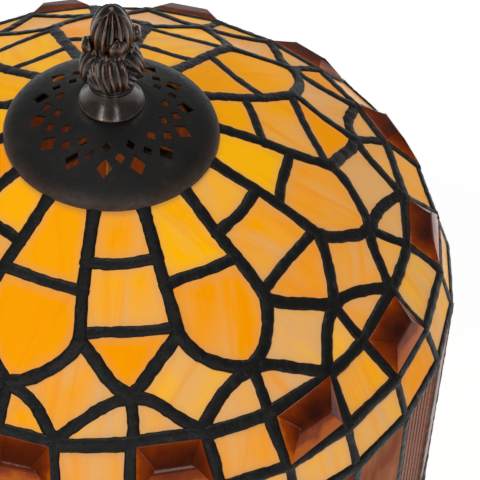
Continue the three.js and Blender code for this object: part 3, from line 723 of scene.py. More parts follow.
def mosaic_patches():
    """Every piece of glass as (kind, left chain, right chain): the glass lies between the two."""
    made = []
    for c in range(0, CELLS, 2):
        left, right = petal_side(c, -1), petal_side(c, 1)
        bars = petal_bars(c)
        for top, foot in zip([RUN_TOP, *bars], bars):
            made.append(("petal", upright(c - 1, top, foot), upright(c + 1, top, foot)))
        made.append(("petal", [(c - 1, bars[-1]), *left], [(c + 1, bars[-1]), *right]))
        d = c + 1
        diamond_left = [*petal_side(c, 1), *lower_arc(c, 1)]
        diamond_right = [*petal_side(c + 2, -1), *lower_arc(c + 2, -1)]
        made.append(("diamond", diamond_left, diamond_right))
        for side in (1, -1):
            arc = lower_arc(c, side)
            foot = [(c, RUN_JEWELS), (c + side, RUN_JEWELS)]
            made.append(("wedge", arc, foot) if side < 0 else ("wedge", foot, arc))
        made.append(("band", upright(d, RUN_JEWELS, RUN_BAND), upright(d + 1, RUN_JEWELS, RUN_BAND)))
    for c in range(CELLS):
        skirt = "ribbed" if c % 2 == 0 else "smooth"
        rows = [
            ("band", RUN_BAND, RUN_DRUM), (skirt, RUN_DRUM, RUN_FOOT_ROW), ("foot", RUN_FOOT_ROW, RUN_FOOT)
        ]
        for kind, top, foot in rows:
            made.append((kind, upright(c, top, foot), upright(c + 1, top, foot)))
    return made


OVERLAP = 0.06  # how far a ring of solder runs on over its own start, in cells


def solder_paths():
    """Every solder line as (chain, width share)."""
    made = []
    for c in range(0, CELLS, 2):
        made.append((upright(c + 1, SOLDER_TOP, RUN_SHOULDER), 1.0))
        for bar, share in zip(petal_bars(c), (0.95, 0.9)):
            made.append(([(c - 1, bar), (c + 1, bar)], share))
        for side in (1, -1):
            made.append((petal_side(c, side), 1.05))
            made.append((lower_arc(c, side), 1.0))
        made.append((upright(c, RUN_TIP, RUN_JEWELS), 0.95))
    for c in range(CELLS):
        made.append((upright(c, RUN_JEWELS, RUN_BAND), 1.05))
        made.append((upright(c, RUN_BAND, RUN_DRUM), 0.85))
        made.append((upright(c, RUN_DRUM, RUN_FOOT), 0.8))
    for run, share in ((RUN_JEWELS, 1.0), (RUN_BAND, 0.95), (RUN_DRUM, 1.0), (RUN_FOOT_ROW, 0.9)):
        made.append(([(0, run), (CELLS + OVERLAP, run)], share))
    return made


# ---------------------------------------------------------------- shade: glass
SEAM = 0.012  # share of a piece left open along each edge, under the solder
CROWN = 0.25 * MM  # the most that a piece's middle stands proud
EDGE_HIDDEN = 1.5 * MM
# over this width the painted pale halo along the solder fades
PAINTED_HALO_FADE = 6.5 * MM
EDGE_STEPS = SEAM + (1 - 2 * SEAM) * np.array([0, 0.07, 0.16, 0.3, 0.5, 0.7, 0.84, 0.93, 1])


def glass_patch(left, right, random, flat):
    """One piece of glass between two chains: a slab with its edges under the solder.

    Gives its points and faces, how far each point is from the edge, and the grain's centre and axes.
    """
    steps = EDGE_STEPS
    a, b = along(left, steps), along(right, steps)
    place = a[:, None, :] + (b - a)[:, None, :] * steps[None, :, None]
    outer = face_point(place[..., 0], place[..., 1])
    swell = np.sin(np.pi * steps)[:, None] * np.sin(np.pi * steps)[None, :]
    lift = swell * CROWN * random.uniform(0.2, 1)
    inner = face_point(place[..., 0], place[..., 1], np.full(lift.shape, -GLASS))
    if flat:
        chord = outer[:, :1] + (outer[:, -1:] - outer[:, :1]) * steps[None, :, None]
        sag = (chord - outer) / 2
        outer, inner = outer + sag, inner + sag
    outer = outer + face_normal(place[..., 0], place[..., 1]) * lift[..., None]
    n = len(steps)
    count = n * n
    faces = []
    for i in range(n - 1):
        for j in range(n - 1):
            q = (i * n + j, (i + 1) * n + j, (i + 1) * n + j + 1, i * n + j + 1)
            faces.append(q)
            faces.append(tuple(count + k for k in reversed(q)))
    border = list(range(n)) + [i * n + n - 1 for i in range(1, n)]
    border += [(n - 1) * n + j for j in range(n - 2, -1, -1)] + [i * n for i in range(n - 2, 0, -1)]
    for k, here in enumerate(border):
        after = border[(k + 1) % len(border)]
        faces.append((here, after, count + after, count + here))
    points = np.concatenate([outer.reshape(-1, 3), inner.reshape(-1, 3)])
    # how far each point is from the piece's own edge, as a share of the width over which the painted pale
    # halo along the solder fades
    middle = outer.reshape(-1, 3)
    rim = middle[border]
    rim_mid = (rim + np.roll(rim, -1, 0)) / 2
    rims = np.concatenate([rim, rim_mid])
    far = np.sqrt(((middle[:, None] - rims[None]) ** 2).sum(-1)).min(1)
    edge = np.clip((far - EDGE_HIDDEN) / PAINTED_HALO_FADE, 0, 1)
    # the grain's own flat axes
    centre = middle.mean(0)
    normal = face_normal(place[..., 0].mean(), place[..., 1].mean())
    across = np.cross((0, 0, 1), normal)
    across = across / max(np.linalg.norm(across), 1e-9)
    upward = np.cross(normal, across)
    return points, faces, np.concatenate([edge, edge]), (centre, across, upward)


def glass_piece(name, patches, materials, random, straight_grain=False):
    """One mesh of several pieces of glass, each with its own tint and grain."""
    points, faces, slots, edges, tints, warmths, grains = [], [], [], [], [], [], []
    for kind, left, right in patches:
        p, f, edge, (centre, across, upward) = glass_patch(left, right, random, kind == "diamond")
        start = sum(len(q) for q in points)
        points.append(p)
        faces += [tuple(start + k for k in face) for face in f]
        slots += [materials[kind][1]] * len(f)
        edges.append(edge)
        tints.append(np.full(len(p), random.uniform(-1, 1) * materials[kind][2] + materials[kind][3]))
        warmths.append(np.full(len(p), random.uniform(0, 1)))
        spin = random.normal(0, 0.35) if not straight_grain else 0
        u = across * math.cos(spin) + upward * math.sin(spin)
        v = upward * math.cos(spin) - across * math.sin(spin)
        shift = random.uniform(0, 1, 2)
        flat = p - centre
        grains.append(np.stack([flat @ u + shift[0], flat @ v + shift[1]], -1))
    points = np.concatenate(points)
    piece = new_piece(name, points, faces, materials[patches[0][0]][0])
    used = []
    for kind in materials:
        if materials[kind][0] not in used:
            used.append(materials[kind][0])
    piece.data.materials.clear()
    for material in used:
        piece.data.materials.append(material)
    piece.data.polygons.foreach_set("material_index", np.array(slots, np.int32))
    point_values(piece, "edge", np.concatenate(edges))
    point_values(piece, "tint", np.concatenate(tints))
    point_values(piece, "warmth", np.concatenate(warmths))
    grain = np.concatenate(grains)
    uv = piece.data.uv_layers.new(name="grain")
    loops = np.zeros(len(piece.data.loops), np.int32)
    piece.data.loops.foreach_get("vertex_index", loops)
    uv.data.foreach_set("uv", grain[loops].astype(np.float32).ravel())
    tidy_mesh(piece)
    return piece


def tidy_mesh(piece):
    """Joins points that lie on each other at a patch's tip and turns every shell's faces outwards."""
    shell = bmesh.new()
    shell.from_mesh(piece.data)
    bmesh.ops.remove_doubles(shell, verts=shell.verts, dist=0.02 * MM)
    bmesh.ops.dissolve_degenerate(shell, edges=shell.edges, dist=0.01 * MM)
    bmesh.ops.recalc_face_normals(shell, faces=shell.faces)
    shell.to_mesh(piece.data)
    shell.free()
    piece.data.set_sharp_from_angle(angle=math.radians(40))


def mid_cell(patch):
    """The cell of a patch's middle."""
    _, left, right = patch
    return (np.mean([p[0] for p in left]) + np.mean([p[0] for p in right])) / 2


def make_glass():
    # the edge colour is each glass's painted pale halo along the solder
    amber = opalescent_glass(
        "amber_glass",
        clear=(1.0, 0.49, 0.005),
        warm=(0.92, 0.31, 0.0),
        milky=(0.76, 0.40, 0.14),
        deep=(0.88, 0.26, 0.0),
        edge=(0.52, 0.30, 0.16),
        painted_glow=0.26,
        ior=1.08,
    )
    brown = opalescent_glass(
        "brown_glass",
        clear=(0.27, 0.052, 0.008),
        warm=(0.22, 0.04, 0.005),
        milky=(0.55, 0.21, 0.085),
        deep=(0.17, 0.032, 0.004),
        edge=(0.22, 0.075, 0.03),
        painted_glow=0.1,
        ior=1.05,
    )
    rippled = opalescent_glass(
        "rippled_glass",
        clear=(0.23, 0.046, 0.009),
        warm=(0.19, 0.034, 0.006),
        milky=(0.30, 0.085, 0.025),
        deep=(0.10, 0.019, 0.003),
        edge=(0.12, 0.034, 0.011),
        painted_glow=0.08,
        ior=1.05,
        ribbed=True,
    )
    # each kind's glass, that glass's place in the mesh, and how milky it is, as a spread and a middle
    dome = {
        "petal": (amber, 0, 0.9, -0.6),
        "diamond": (amber, 0, 0.5, 0.85),
        "wedge": (amber, 0, 0.6, 0.35),
        "band": (amber, 0, 0.6, 0.3),
    }
    drum = {"smooth": (brown, 0, 0.6, 0), "ribbed": (rippled, 1, 0.4, 0), "foot": (brown, 0, 0.6, 0.2)}
    random = np.random.default_rng(GLASS_SEED)
    patches = mosaic_patches()

    for k in range(PANELS):
        first = PANEL_CELLS * k - 1
        here = [p for p in patches if (mid_cell(p) - first) % CELLS < PANEL_CELLS]
        top = [p for p in here if p[0] in dome]
        low = [p for p in here if p[0] in drum]
        piece = glass_piece(f"dome_glass_{k + 1}", top, dome, random)
        settle(piece, "shade", "amber_glass", f"dome_panel_{k + 1}")
        piece = glass_piece(f"skirt_glass_{k + 1}", low, drum, random, True)
        settle(piece, "shade", "brown_glass", f"skirt_panel_{k + 1}")


# ---------------------------------------------------------------- shade: solder
def make_solder():
    material = solder_patina()
    tree = solder_tree(material)
    groups = {"dome_solder": [], "skirt_solder": []}
    for chain, share in solder_paths():
        low = max(p[1] for p in chain) > RUN_DRUM + 0.1
        groups["skirt_solder" if low else "dome_solder"].append((chain, share))
    for name, paths in groups.items():
        points, edges, beads, crossings, outward = [], [], [], [], []
        filled = set()
        for chain, share in paths:
            p = np.array(chain, float)
            length = np.hypot(np.diff(p[:, 0]) * 0.5, np.diff(p[:, 1])).sum()
            count = max(3, int(length / PATH_STEP))
            place = along(chain, np.linspace(0, 1, count))
            start = len(points)
            points += list(face_point(place[:, 0], place[:, 1], np.full(count, -GLASS / 2)))
            edges += [(start + k, start + k + 1) for k in range(count - 1)]
            from_end = np.minimum(np.arange(count), np.arange(count)[::-1]) / (count - 1)
            beads += list(BEAD * share * (1 + 0.10 * np.exp(-from_end * 9)))
            ends = [tuple(np.round(points[k] / MM, 1)) for k in (start, len(points) - 1)]
            crossings += [ends[0] not in filled] + [False] * (count - 2) + [ends[1] not in filled]
            filled.update(ends)
            outward += list(face_normal(place[:, 0], place[:, 1]))
        lines = line_piece(name + "_lines", points, edges)
        point_values(lines, "bead", beads)
        flags = lines.data.attributes.new("crossing", "BOOLEAN", "POINT")
        flags.data.foreach_set("value", crossings)
        ways = lines.data.attributes.new("outward", "FLOAT_VECTOR", "POINT")
        ways.data.foreach_set("vector", np.array(outward, np.float32).ravel())
        piece = grown(lines, tree, {"Material": material}, name)
        settle(piece, "shade", "blackened_metal")


# ---------------------------------------------------------------- shade: jewels
JEWELS = 14
JEWEL_INSET = 1.5 * MM
# height over the glass in millimetres, shares of the width and the depth, and how high the row counts in the
# painted shade over the ridge
JEWEL_ROWS = [
    (-3, 0.9, 0.9, 0.0),
    (-2.6, 1, 1, 0.0),
    (1.0, 1, 1, 0.0),
    (1.7, 0.985, 0.97, 0.15),
    (3.8, 0.79, 0.56, 0.6),
    (5.9, 0.6, 0.15, 0.95),
    (6.3, 0.55, 0.05, 1.0),
]


def make_jewels():
    material = pressed_glass()
    for n in range(JEWELS):
        cell = 2 * n
        corners = [(cell, RUN_JEWELS), (cell + 1, RUN_JEWELS), (cell + 1, RUN_BAND), (cell, RUN_BAND)]
        base = [Vector(face_point(c, s)) for c, s in corners]
        middle = sum(base, Vector()) / 4
        across = ((base[1] - base[0]) + (base[2] - base[3])).normalized()
        down = ((base[3] - base[0]) + (base[2] - base[1])).normalized()
        outward = down.cross(across).normalized()
        wide = [(b - middle).dot(across) for b in base]
        deep = [(b - middle).dot(down) for b in base]

        points = []
        for rise, across_share, down_share, _ in JEWEL_ROWS:
            for w, d in zip(wide, deep):
                w = math.copysign(max(abs(w) - JEWEL_INSET, 0), w) * across_share
                d = math.copysign(max(abs(d) - JEWEL_INSET, 0), d) * down_share
                points.append(middle + across * w + down * d + outward * rise * MM)
        faces = [(3, 2, 1, 0)]
        for k in range(len(JEWEL_ROWS) - 1):
            for i in range(4):
                j = (i + 1) % 4
                faces.append((4 * k + i, 4 * k + j, 4 * k + 4 + j, 4 * k + 4 + i))
        faces.append(tuple(range(len(points) - 4, len(points))))
        name = f"jewel_glass_{n + 1:02d}"
        piece = new_piece(name, points, faces, material, False)
        point_values(piece, "rise", np.repeat([row[3] for row in JEWEL_ROWS], 4))
        lit = piece.data.attributes.new("lit", "FLOAT", "FACE")
        for value, polygon in zip(lit.data, piece.data.polygons):
            facing = (polygon.center - middle).normalized().dot(down)
            value.value = max(0.0, min(1.0, 0.35 + 0.9 * facing))
        tidy_mesh(piece)
        soften(piece, 0.55 * MM, 3, 12)
        settle(piece, "shade", "jewel_glass", f"jewel_{n + 1:02d}")


def soften(piece, width, segments, degrees):
    bevel = piece.modifiers.new("soften", "BEVEL")
    bevel.width = width
    bevel.segments = segments
    bevel.limit_method = "ANGLE"
    bevel.angle_limit = math.radians(degrees)
    bevel.harden_normals = False
    piece.data.shade_smooth()


# ---------------------------------------------------------------- vent cap
CAP_SHEET = 1.0  # at the rim; it thins towards the middle
CAP_BORE = 4.2
CAP_TURN = math.radians(-9.3)
VENTS = 14
PUNCH = 40 * MM  # height of the vents' cutter
VENT_RINGS = [  # radius, width and height of the vents in millimetres, and the ring's turn in vents
    (36.2, 8.0, 9.5, 0.0),
    (31.4, 5.2, 5.6, 0.5),
    (26.3, 5.0, 5.6, 0.0),
]


def make_vent_cap():
    material = blackened_spinning()
    rise = (CAP_HIGH.z - CAP_RIM_Z) / MM
    r = CAP_R / MM
    z = CAP_RIM_Z / MM
    face = [
        (CAP_BORE, rise), (16, rise), (0.5 * r, 0.79 * rise), (0.68 * r, 0.58 * rise),
        (0.83 * r, 0.4 * rise),
    ]
    face += [(0.93 * r, 0.24 * rise), (0.985 * r, 0.11 * rise), (r, 0.0)]
    outer = smooth_profile(face, 4)
    inner = []
    for a, b in outer:
        sheet = CAP_SHEET * (0.25 + 0.75 * (a / r) ** 6)
        inner.append((max(a - sheet, CAP_BORE), max(b - CAP_SHEET, 0)))
    profile = [(a, b + z) for a, b in outer[::-1]] + [(a, b + z) for a, b in inner]
    sheet = turned("vent_cap_sheet", profile, material, 112)

    tree, given, output = new_tree("pierced_rings", {"Vents": VENTS, "Turn": CAP_TURN, "Material": material})
    rings = []
    for radius, wide, high, shift in VENT_RINGS:
        put = {
            "Points": step(
                tree, "GeometryNodeMeshCircle", {"Vertices": given["Vents"], "Radius": radius * MM}
            ),
            "Instance": step(
                tree, "GeometryNodeMeshCylinder", {"Vertices": 4, "Radius": 0.5, "Depth": PUNCH}
            ),
            "Scale": (high * MM, wide * MM, 1),
        }
        spot = step(tree, "GeometryNodeInputPosition", {})
        look = {"axis": "X", "pivot_axis": "Z"}
        put["Rotation"] = step(tree, "FunctionNodeAlignRotationToVector", {"Vector": spot}, **look)
        angle = arithmetic(tree, "DIVIDE", TURN * shift, given["Vents"])
        angle = arithmetic(tree, "SUBTRACT", arithmetic(tree, "ADD", angle, given["Turn"]), TURN / 4)
        turn = {
            "Geometry": step(tree, "GeometryNodeInstanceOnPoints", put),
            "Rotation": step(tree, "ShaderNodeCombineXYZ", {"Z": angle}),
            "Translation": (0, 0, CAP_RIM_Z + 12 * MM),
        }
        rings.append(step(tree, "GeometryNodeTransform", turn))
    finish_tree(tree, cut_away(tree, given, joined(tree, rings)), given, output)
    cap = grown(sheet, tree, {"Material": material}, "pierced_vent_cap")
    co = np.array([v.co for v in cap.data.vertices])
    around = np.hypot(co[:, 0], co[:, 1])
    rub = np.clip((around / CAP_R - 0.86) / 0.14, 0, 1) ** 2
    point_values(cap, "rub", rub)
    sharp_edges(cap, 40)
    settle(cap, "shade", "blackened_metal", "vent_cap")


# ---------------------------------------------------------------- finial
def window(value, low, high, soft):
    """1 between low and high, fading to 0 over a soft width inside each end."""
    share = max(0.0, min(1.0, (value - low) / soft, (high - value) / soft))
    return share * share * (3 - 2 * share)


def fan_leaf(turn, height, leaves, ribs, narrow, lean):
    """Relief of leaves that fan out upwards over the leaves behind them."""
    pitch = TURN / leaves
    turn = turn + lean * height
    near = (turn / pitch + 0.5) % 1.0 - 0.5
    across = near / (0.5 * (narrow + (1 - narrow) * height**0.7))
    if abs(across) < 1:
        edge = min(1.0, (1 - abs(across)) / 0.08)
        rib = math.cos(TURN * ribs * across)
        return 0.5 * edge + 0.5 * rib, max(0.0, rib)
    behind = (turn + 1.1 * height) / pitch
    rib = math.cos(TURN * 2.5 * ribs * behind)
    return -0.5 + 0.45 * rib, 0.9 * max(0.0, rib)


def leaf_curl(size):
    """A small rolled leaf tip: an egg with a groove over its brow."""
    rows, columns = 14, 42
    points, faces, raised = [], [], []
    rings = [[0] * columns]
    points.append((0, 0, size * 1.1 * MM))
    raised.append(0.9)
    for i in range(1, rows):
        v = math.pi * i / rows
        ring = []
        for j in range(columns):
            u = TURN * j / columns
            groove = 1 + 0.12 * math.cos(5 * u) * math.sin(v)
            ring.append(len(points))
            x = size * 0.92 * math.sin(v) * math.cos(u) * groove
            y = size * 0.72 * math.sin(v) * math.sin(u) * groove
            points.append((x * MM, y * MM, size * 1.1 * math.cos(v) * (1 - 0.12 * math.cos(v)) * MM))
            raised.append(0.45 + 0.5 * math.cos(5 * u))
        rings.append(ring)
    rings.append([len(points)] * columns)
    points.append((0, 0, -size * 1.2 * MM))
    raised.append(0)
    for high, low in zip(rings, rings[1:]):
        for j in range(columns):
            k = (j + 1) % columns
            face = list(dict.fromkeys([high[j], low[j], low[k], high[k]]))
            faces.append(tuple(face))
    return points, faces, raised


RISER_BORE = 3.45
FINIAL_BORE_TOP = 12.0


def make_finial(material):
    foot = FINIAL_LOW.z / MM
    height = (FINIAL_HIGH.z - FINIAL_LOW.z) / MM
    flange = [
        (15.0, 0), (15.7, 0.4), (15.8, 1.4), (15.0, 2.3), (13.6, 4.4), (12.0, 7.2), (10.8, 9.8),
        (10.3, 11.2),
    ]
    rings = [(10.9, 11.5), (11.0, 12.0), (10.3, 12.4), (10.3, 12.7), (10.7, 13.0), (10.6, 13.5), (9.9, 14.0)]
    leaves = [
        (11.0, 15.2), (13.0, 17.6), (14.2, 20.8), (14.4, 24.2), (13.6, 28), (12.0, 31.2), (10.2, 33.6),
        (8.7, 35.4),
    ]
    bud = [(8.6, 37), (9.3, 39.5), (9.7, 43), (9.6, 47), (8.8, 51), (7.2, 55), (4.9, 58.4), (2.4, 60.3)]
    curve = smooth_profile([*flange, *rings, *leaves, *bud, (0, height)], 7)
    curve = [(max(r, 0.0), min(max(z, 0.0), height)) for r, z in curve]
    curve[-1] = (0, height)
    profile = [(0, FINIAL_BORE_TOP), (RISER_BORE, FINIAL_BORE_TOP), (RISER_BORE, 0.0), *curve]
    flange_foot, leaf_foot, leaf_top, bud_foot = 3.0, 14.2, 35.6, 36.0

    def relief(r, z, angle):
        if r < RISER_BORE + 0.15 and z < FINIAL_BORE_TOP + 1:
            return 0, 0
        if z < leaf_foot:
            return 0, 0.34 + 0.36 * window(z, -0.5, flange_foot, 1.2) + 0.2 * window(z, 11.3, 12.4, 0.4)
        if z < leaf_top:
            push, high = fan_leaf(angle - 0.12, (z - leaf_foot) / (leaf_top - leaf_foot), 4, 2.5, 0.3, 0.3)
            fade = window(z, leaf_foot, leaf_top, 3.2)
            return 1.2 * push * fade, high * fade
        if z < bud_foot:
            return 0, 0
        share = (z - bud_foot) / (height - bud_foot)
        petal = ((angle + 0.12 - 0.15 * share) * 2 / TURN + 0.5) % 1.0 - 0.5
        arch = 0.38 * math.sqrt(max(0.0, 1 - (share / 0.97) ** 5))
        brim = window(abs(petal) - arch, -0.015, 0.1, 0.04)
        rib = math.cos(TURN * 7.0 * petal) if abs(petal) < arch else 0.1
        fade = window(z, bud_foot, height + 2.0, 4.0)
        push = 0.9 * brim + 0.85 * rib * (1 - brim) - 0.35
        return push * fade, max(0.75 * brim, rib) * fade

    extras = []
    nubs = [(12, 43.5, 9.4, 4.6), (-84, 39.0, 11.2, 4.4), (104, 41.6, 11.2, 4.4), (190, 42.0, 10.4, 4.4)]
    nubs += [(k * 45 + 25, 36.4, 9.2, 2.3) for k in range(8)]
    for degrees, up, out, size in nubs:
        points, faces, raised = leaf_curl(size)
        place = Matrix.Rotation(math.radians(degrees), 4, "Z") @ Matrix.Translation((0, -out * MM, up * MM))
        extras.append(([tuple(place @ Vector(p)) for p in points], faces, raised))
    rise = Matrix.Translation((0, 0, foot * MM))
    finial = turned("leaf_finial", profile, material, 216, relief, rise, extras)
    settle(finial, "finial", "bronze", "finial")


# ---------------------------------------------------------------- stand
def heights(name):
    low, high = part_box(name)
    return low.z / MM, high.z / MM


def reeded(count, depth, low, high, soft):
    """Relief of convex reeds between two heights."""

    def relief(r, z, angle):
        shape = abs(math.cos(count * angle / 2))
        fade = window(z, low, high, soft)
        return depth * (shape - 1) * fade, 0.3 * (1 - fade) + (0.1 + 0.9 * shape**4) * fade

    return relief


def threaded(pitch, depth, low, high):
    def relief(r, z, angle):
        wave = 0.5 + 0.5 * math.cos(TURN * z / pitch - angle)
        return -depth * wave * window(z, low, high, 2 * pitch), 0

    return relief


def thread_rows(r, low, high, pitch, steps=4):
    count = int((high - low) / pitch * steps)
    return [(r, low + (high - low) * k / count) for k in range(count + 1)]


def outside_only(relief, least):
    """The same relief, kept off the bore and all else that is nearer the axis than a least radius."""
    return lambda r, z, angle: relief(r, z, angle) if r > least else (0, 0)


def faceted(r, z, angle):
    """Relief that cuts a circle down to the shade's polygon, with its corners on the circle."""
    return r * (math.cos(CELL_TURN / 2) / math.cos(angle % CELL_TURN - CELL_TURN / 2) - 1), 0


def hexagonal(flats):
    def relief(r, z, angle):
        side = (angle % (TURN / 6)) - TURN / 12
        return min(r, flats / 2 / math.cos(side)) - r, 0

    return relief


def nut_profile(flats, bore, low, high):
    corner, chamfer = flats / math.sqrt(3), flats / 2 * 0.97
    outside = [
        (chamfer - 0.5, low), (chamfer, low), (corner, low + 0.9), (corner, high - 0.9), (chamfer, high),
        (chamfer - 0.5, high),
    ]
    return [*outside, (bore + 0.5, high), (bore, high - 0.5), (bore, low + 0.5), (bore + 0.5, low)]


PIPE_BORE = 5.2


def make_foot(bronze, felt, phenolic):
    low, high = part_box("base_foot")
    foot, top, wide = low.z / MM, high.z / MM, high.x / MM
    neck, edge = 24.0, foot + 13
    slope = [
        (0, 0), (0.04, 0.08), (0.1, 0.1), (0.14, 0.2), (0.28, 0.34), (0.5, 0.46), (0.72, 0.58),
        (0.86, 0.73), (0.96, 0.92), (1, 1),
    ]
    rise = [(wide + (neck - wide) * a, edge + (top - edge) * b) for a, b in slope]
    wall = [
        (wide - 0.8, foot), (wide, foot + 0.8), (wide, foot + 3.5), (wide - 1.2, foot + 4.6),
        (wide - 1.2, foot + 7.6),
    ]
    wall += [(wide, foot + 8.8), (wide, edge - 1.6), (wide - 0.6, edge - 0.3)]
    outside = [*wall, *smooth_profile(rise[1:], 5)]
    inside = [(PIPE_BORE, top), (PIPE_BORE, 26), (56, 26), (wide - 11, edge), (wide - 11, foot)]
    lobes = reeded(28, 1.5, edge + 7.5, edge + 27, 6)

    def lobed(r, z, angle):
        return lobes(r, z, angle) if r > neck + 2 and z > edge + 7 else (0, 0)

    cast = turned("foot_blank", [*outside, *inside], bronze, 280, lobed)
    sizes = {"Radius": 5.1 * MM, "Height": foot * MM + 6.5 * MM, "Material": bronze}
    tree, given, output = new_tree("cord_hole", sizes)
    drill = {"Vertices": 40, "Radius": given["Radius"], "Depth": 40 * MM}
    hole = {
        "Geometry": step(tree, "GeometryNodeMeshCylinder", drill),
        "Translation": step(tree, "ShaderNodeCombineXYZ", {"Y": (wide - 4) * MM, "Z": given["Height"]}),
        "Rotation": (TURN / 4, 0, 0),
    }
    cutter = step(tree, "GeometryNodeTransform", hole)
    finish_tree(tree, cut_away(tree, given, cutter), given, output)
    made = grown(cast, tree, {"Material": bronze}, "cast_foot")
    tidy_mesh(made)
    if "ridge" not in made.data.attributes:
        point_values(made, "ridge", np.zeros(len(made.data.vertices)))
    sharp_edges(made, 40)
    settle(made, "stand", "bronze", "base_foot")

    low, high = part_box("base_felt")
    r, bottom, top = high.x / MM, low.z / MM, high.z / MM
    pad = [
        (0, bottom), (r - 0.6, bottom), (r - 0.1, bottom + 0.4), (r, bottom + 1), (r - 0.1, top - 0.4),
        (r - 0.6, top), (0, top),
    ]
    settle(turned("felt_pad", pad, felt, 120), "stand", "felt", "base_felt")

    low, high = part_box("cord_bushing")
    middle, start, end = (low.z + high.z) / 2, low.y / MM, high.y / MM
    liner = [
        (3.9, start), (4.6, start), (4.8, start + 0.3), (4.8, end - 2), (5.9, end - 2), (6.2, end - 1.6),
        (6.2, end - 0.7),
    ]
    liner += [(5.6, end - 0.1), (4.6, end), (3.9, end - 0.5), (3.7, end - 1.2), (3.7, start + 0.3)]
    aim = Matrix.Translation((0, 0, middle)) @ Matrix.Rotation(-TURN / 4, 4, "X")
    grommet = turned("cord_grommet", liner, phenolic, 64, place=aim)
    settle(grommet, "stand", "phenolic", "cord_bushing")


def make_column(bronze):
    # outline as radius and share of the height, number and depth of the reeds, and where they start and end
    shapes = {
        "lower": (
            [
                (24, 0), (24.6, 0.012), (24.6, 0.03), (23.6, 0.042), (20, 0.07), (17.5, 0.1),
                (14.6, 0.145), (13.9, 0.18), (14.6, 0.24), (17, 0.35), (20.2, 0.47), (21, 0.56),
                (20.6, 0.66), (18.6, 0.76), (15.4, 0.85), (13.2, 0.905), (13.0, 0.925), (14.6, 0.94),
                (16, 0.955), (16.3, 0.97), (16.2, 0.985), (15.6, 1),
            ],
            20,
            0.9,
            0.22,
            0.86,
        ),
        "knop": (
            [
                (15.6, 0), (16.6, 0.03), (17.4, 0.08), (18.2, 0.12), (20.8, 0.18), (23.6, 0.31),
                (25, 0.5), (23.6, 0.69), (20.8, 0.82), (18.2, 0.88), (16.8, 0.93), (15.4, 1),
            ],
            24,
            1.2,
            0.14,
            0.86,
        ),
        "upper": (
            [
                (15, 0), (15.5, 0.008), (15.5, 0.022), (14.6, 0.032), (12.4, 0.055), (11, 0.085),
                (11.4, 0.12), (13, 0.21), (13.5, 0.29), (13.2, 0.4), (12, 0.57), (10.7, 0.74), (10, 0.83),
                (10.4, 0.845), (12, 0.86), (12.3, 0.88), (12, 0.905), (12.2, 0.92), (15.5, 0.95),
                (18.6, 0.968), (20, 0.98), (20.2, 0.988), (19.6, 1),
            ],
            16,
            0.8,
            0.11,
            0.82,
        ),
    }
    for part, (rows, count, depth, start, end) in shapes.items():
        node_name = "column_" + part
        foot, top = heights(node_name)
        height = top - foot
        curve = smooth_profile([(r, foot + share * height) for r, share in rows], 5)
        curve = [(r, min(max(z, foot), top)) for r, z in curve]
        relief = reeded(count, depth, foot + start * height, foot + end * height, 0.12 * height)
        profile = [*curve, (PIPE_BORE, top), (PIPE_BORE, foot)]
        piece = turned("turned_" + node_name, profile, bronze, 160, outside_only(relief, 6))
        settle(piece, "stand", "bronze", node_name)


SOCKET_TILT = math.radians(35)  # up from level
SPOUT_X = 48.0  # from the lamp's axis to the spout's, in millimetres


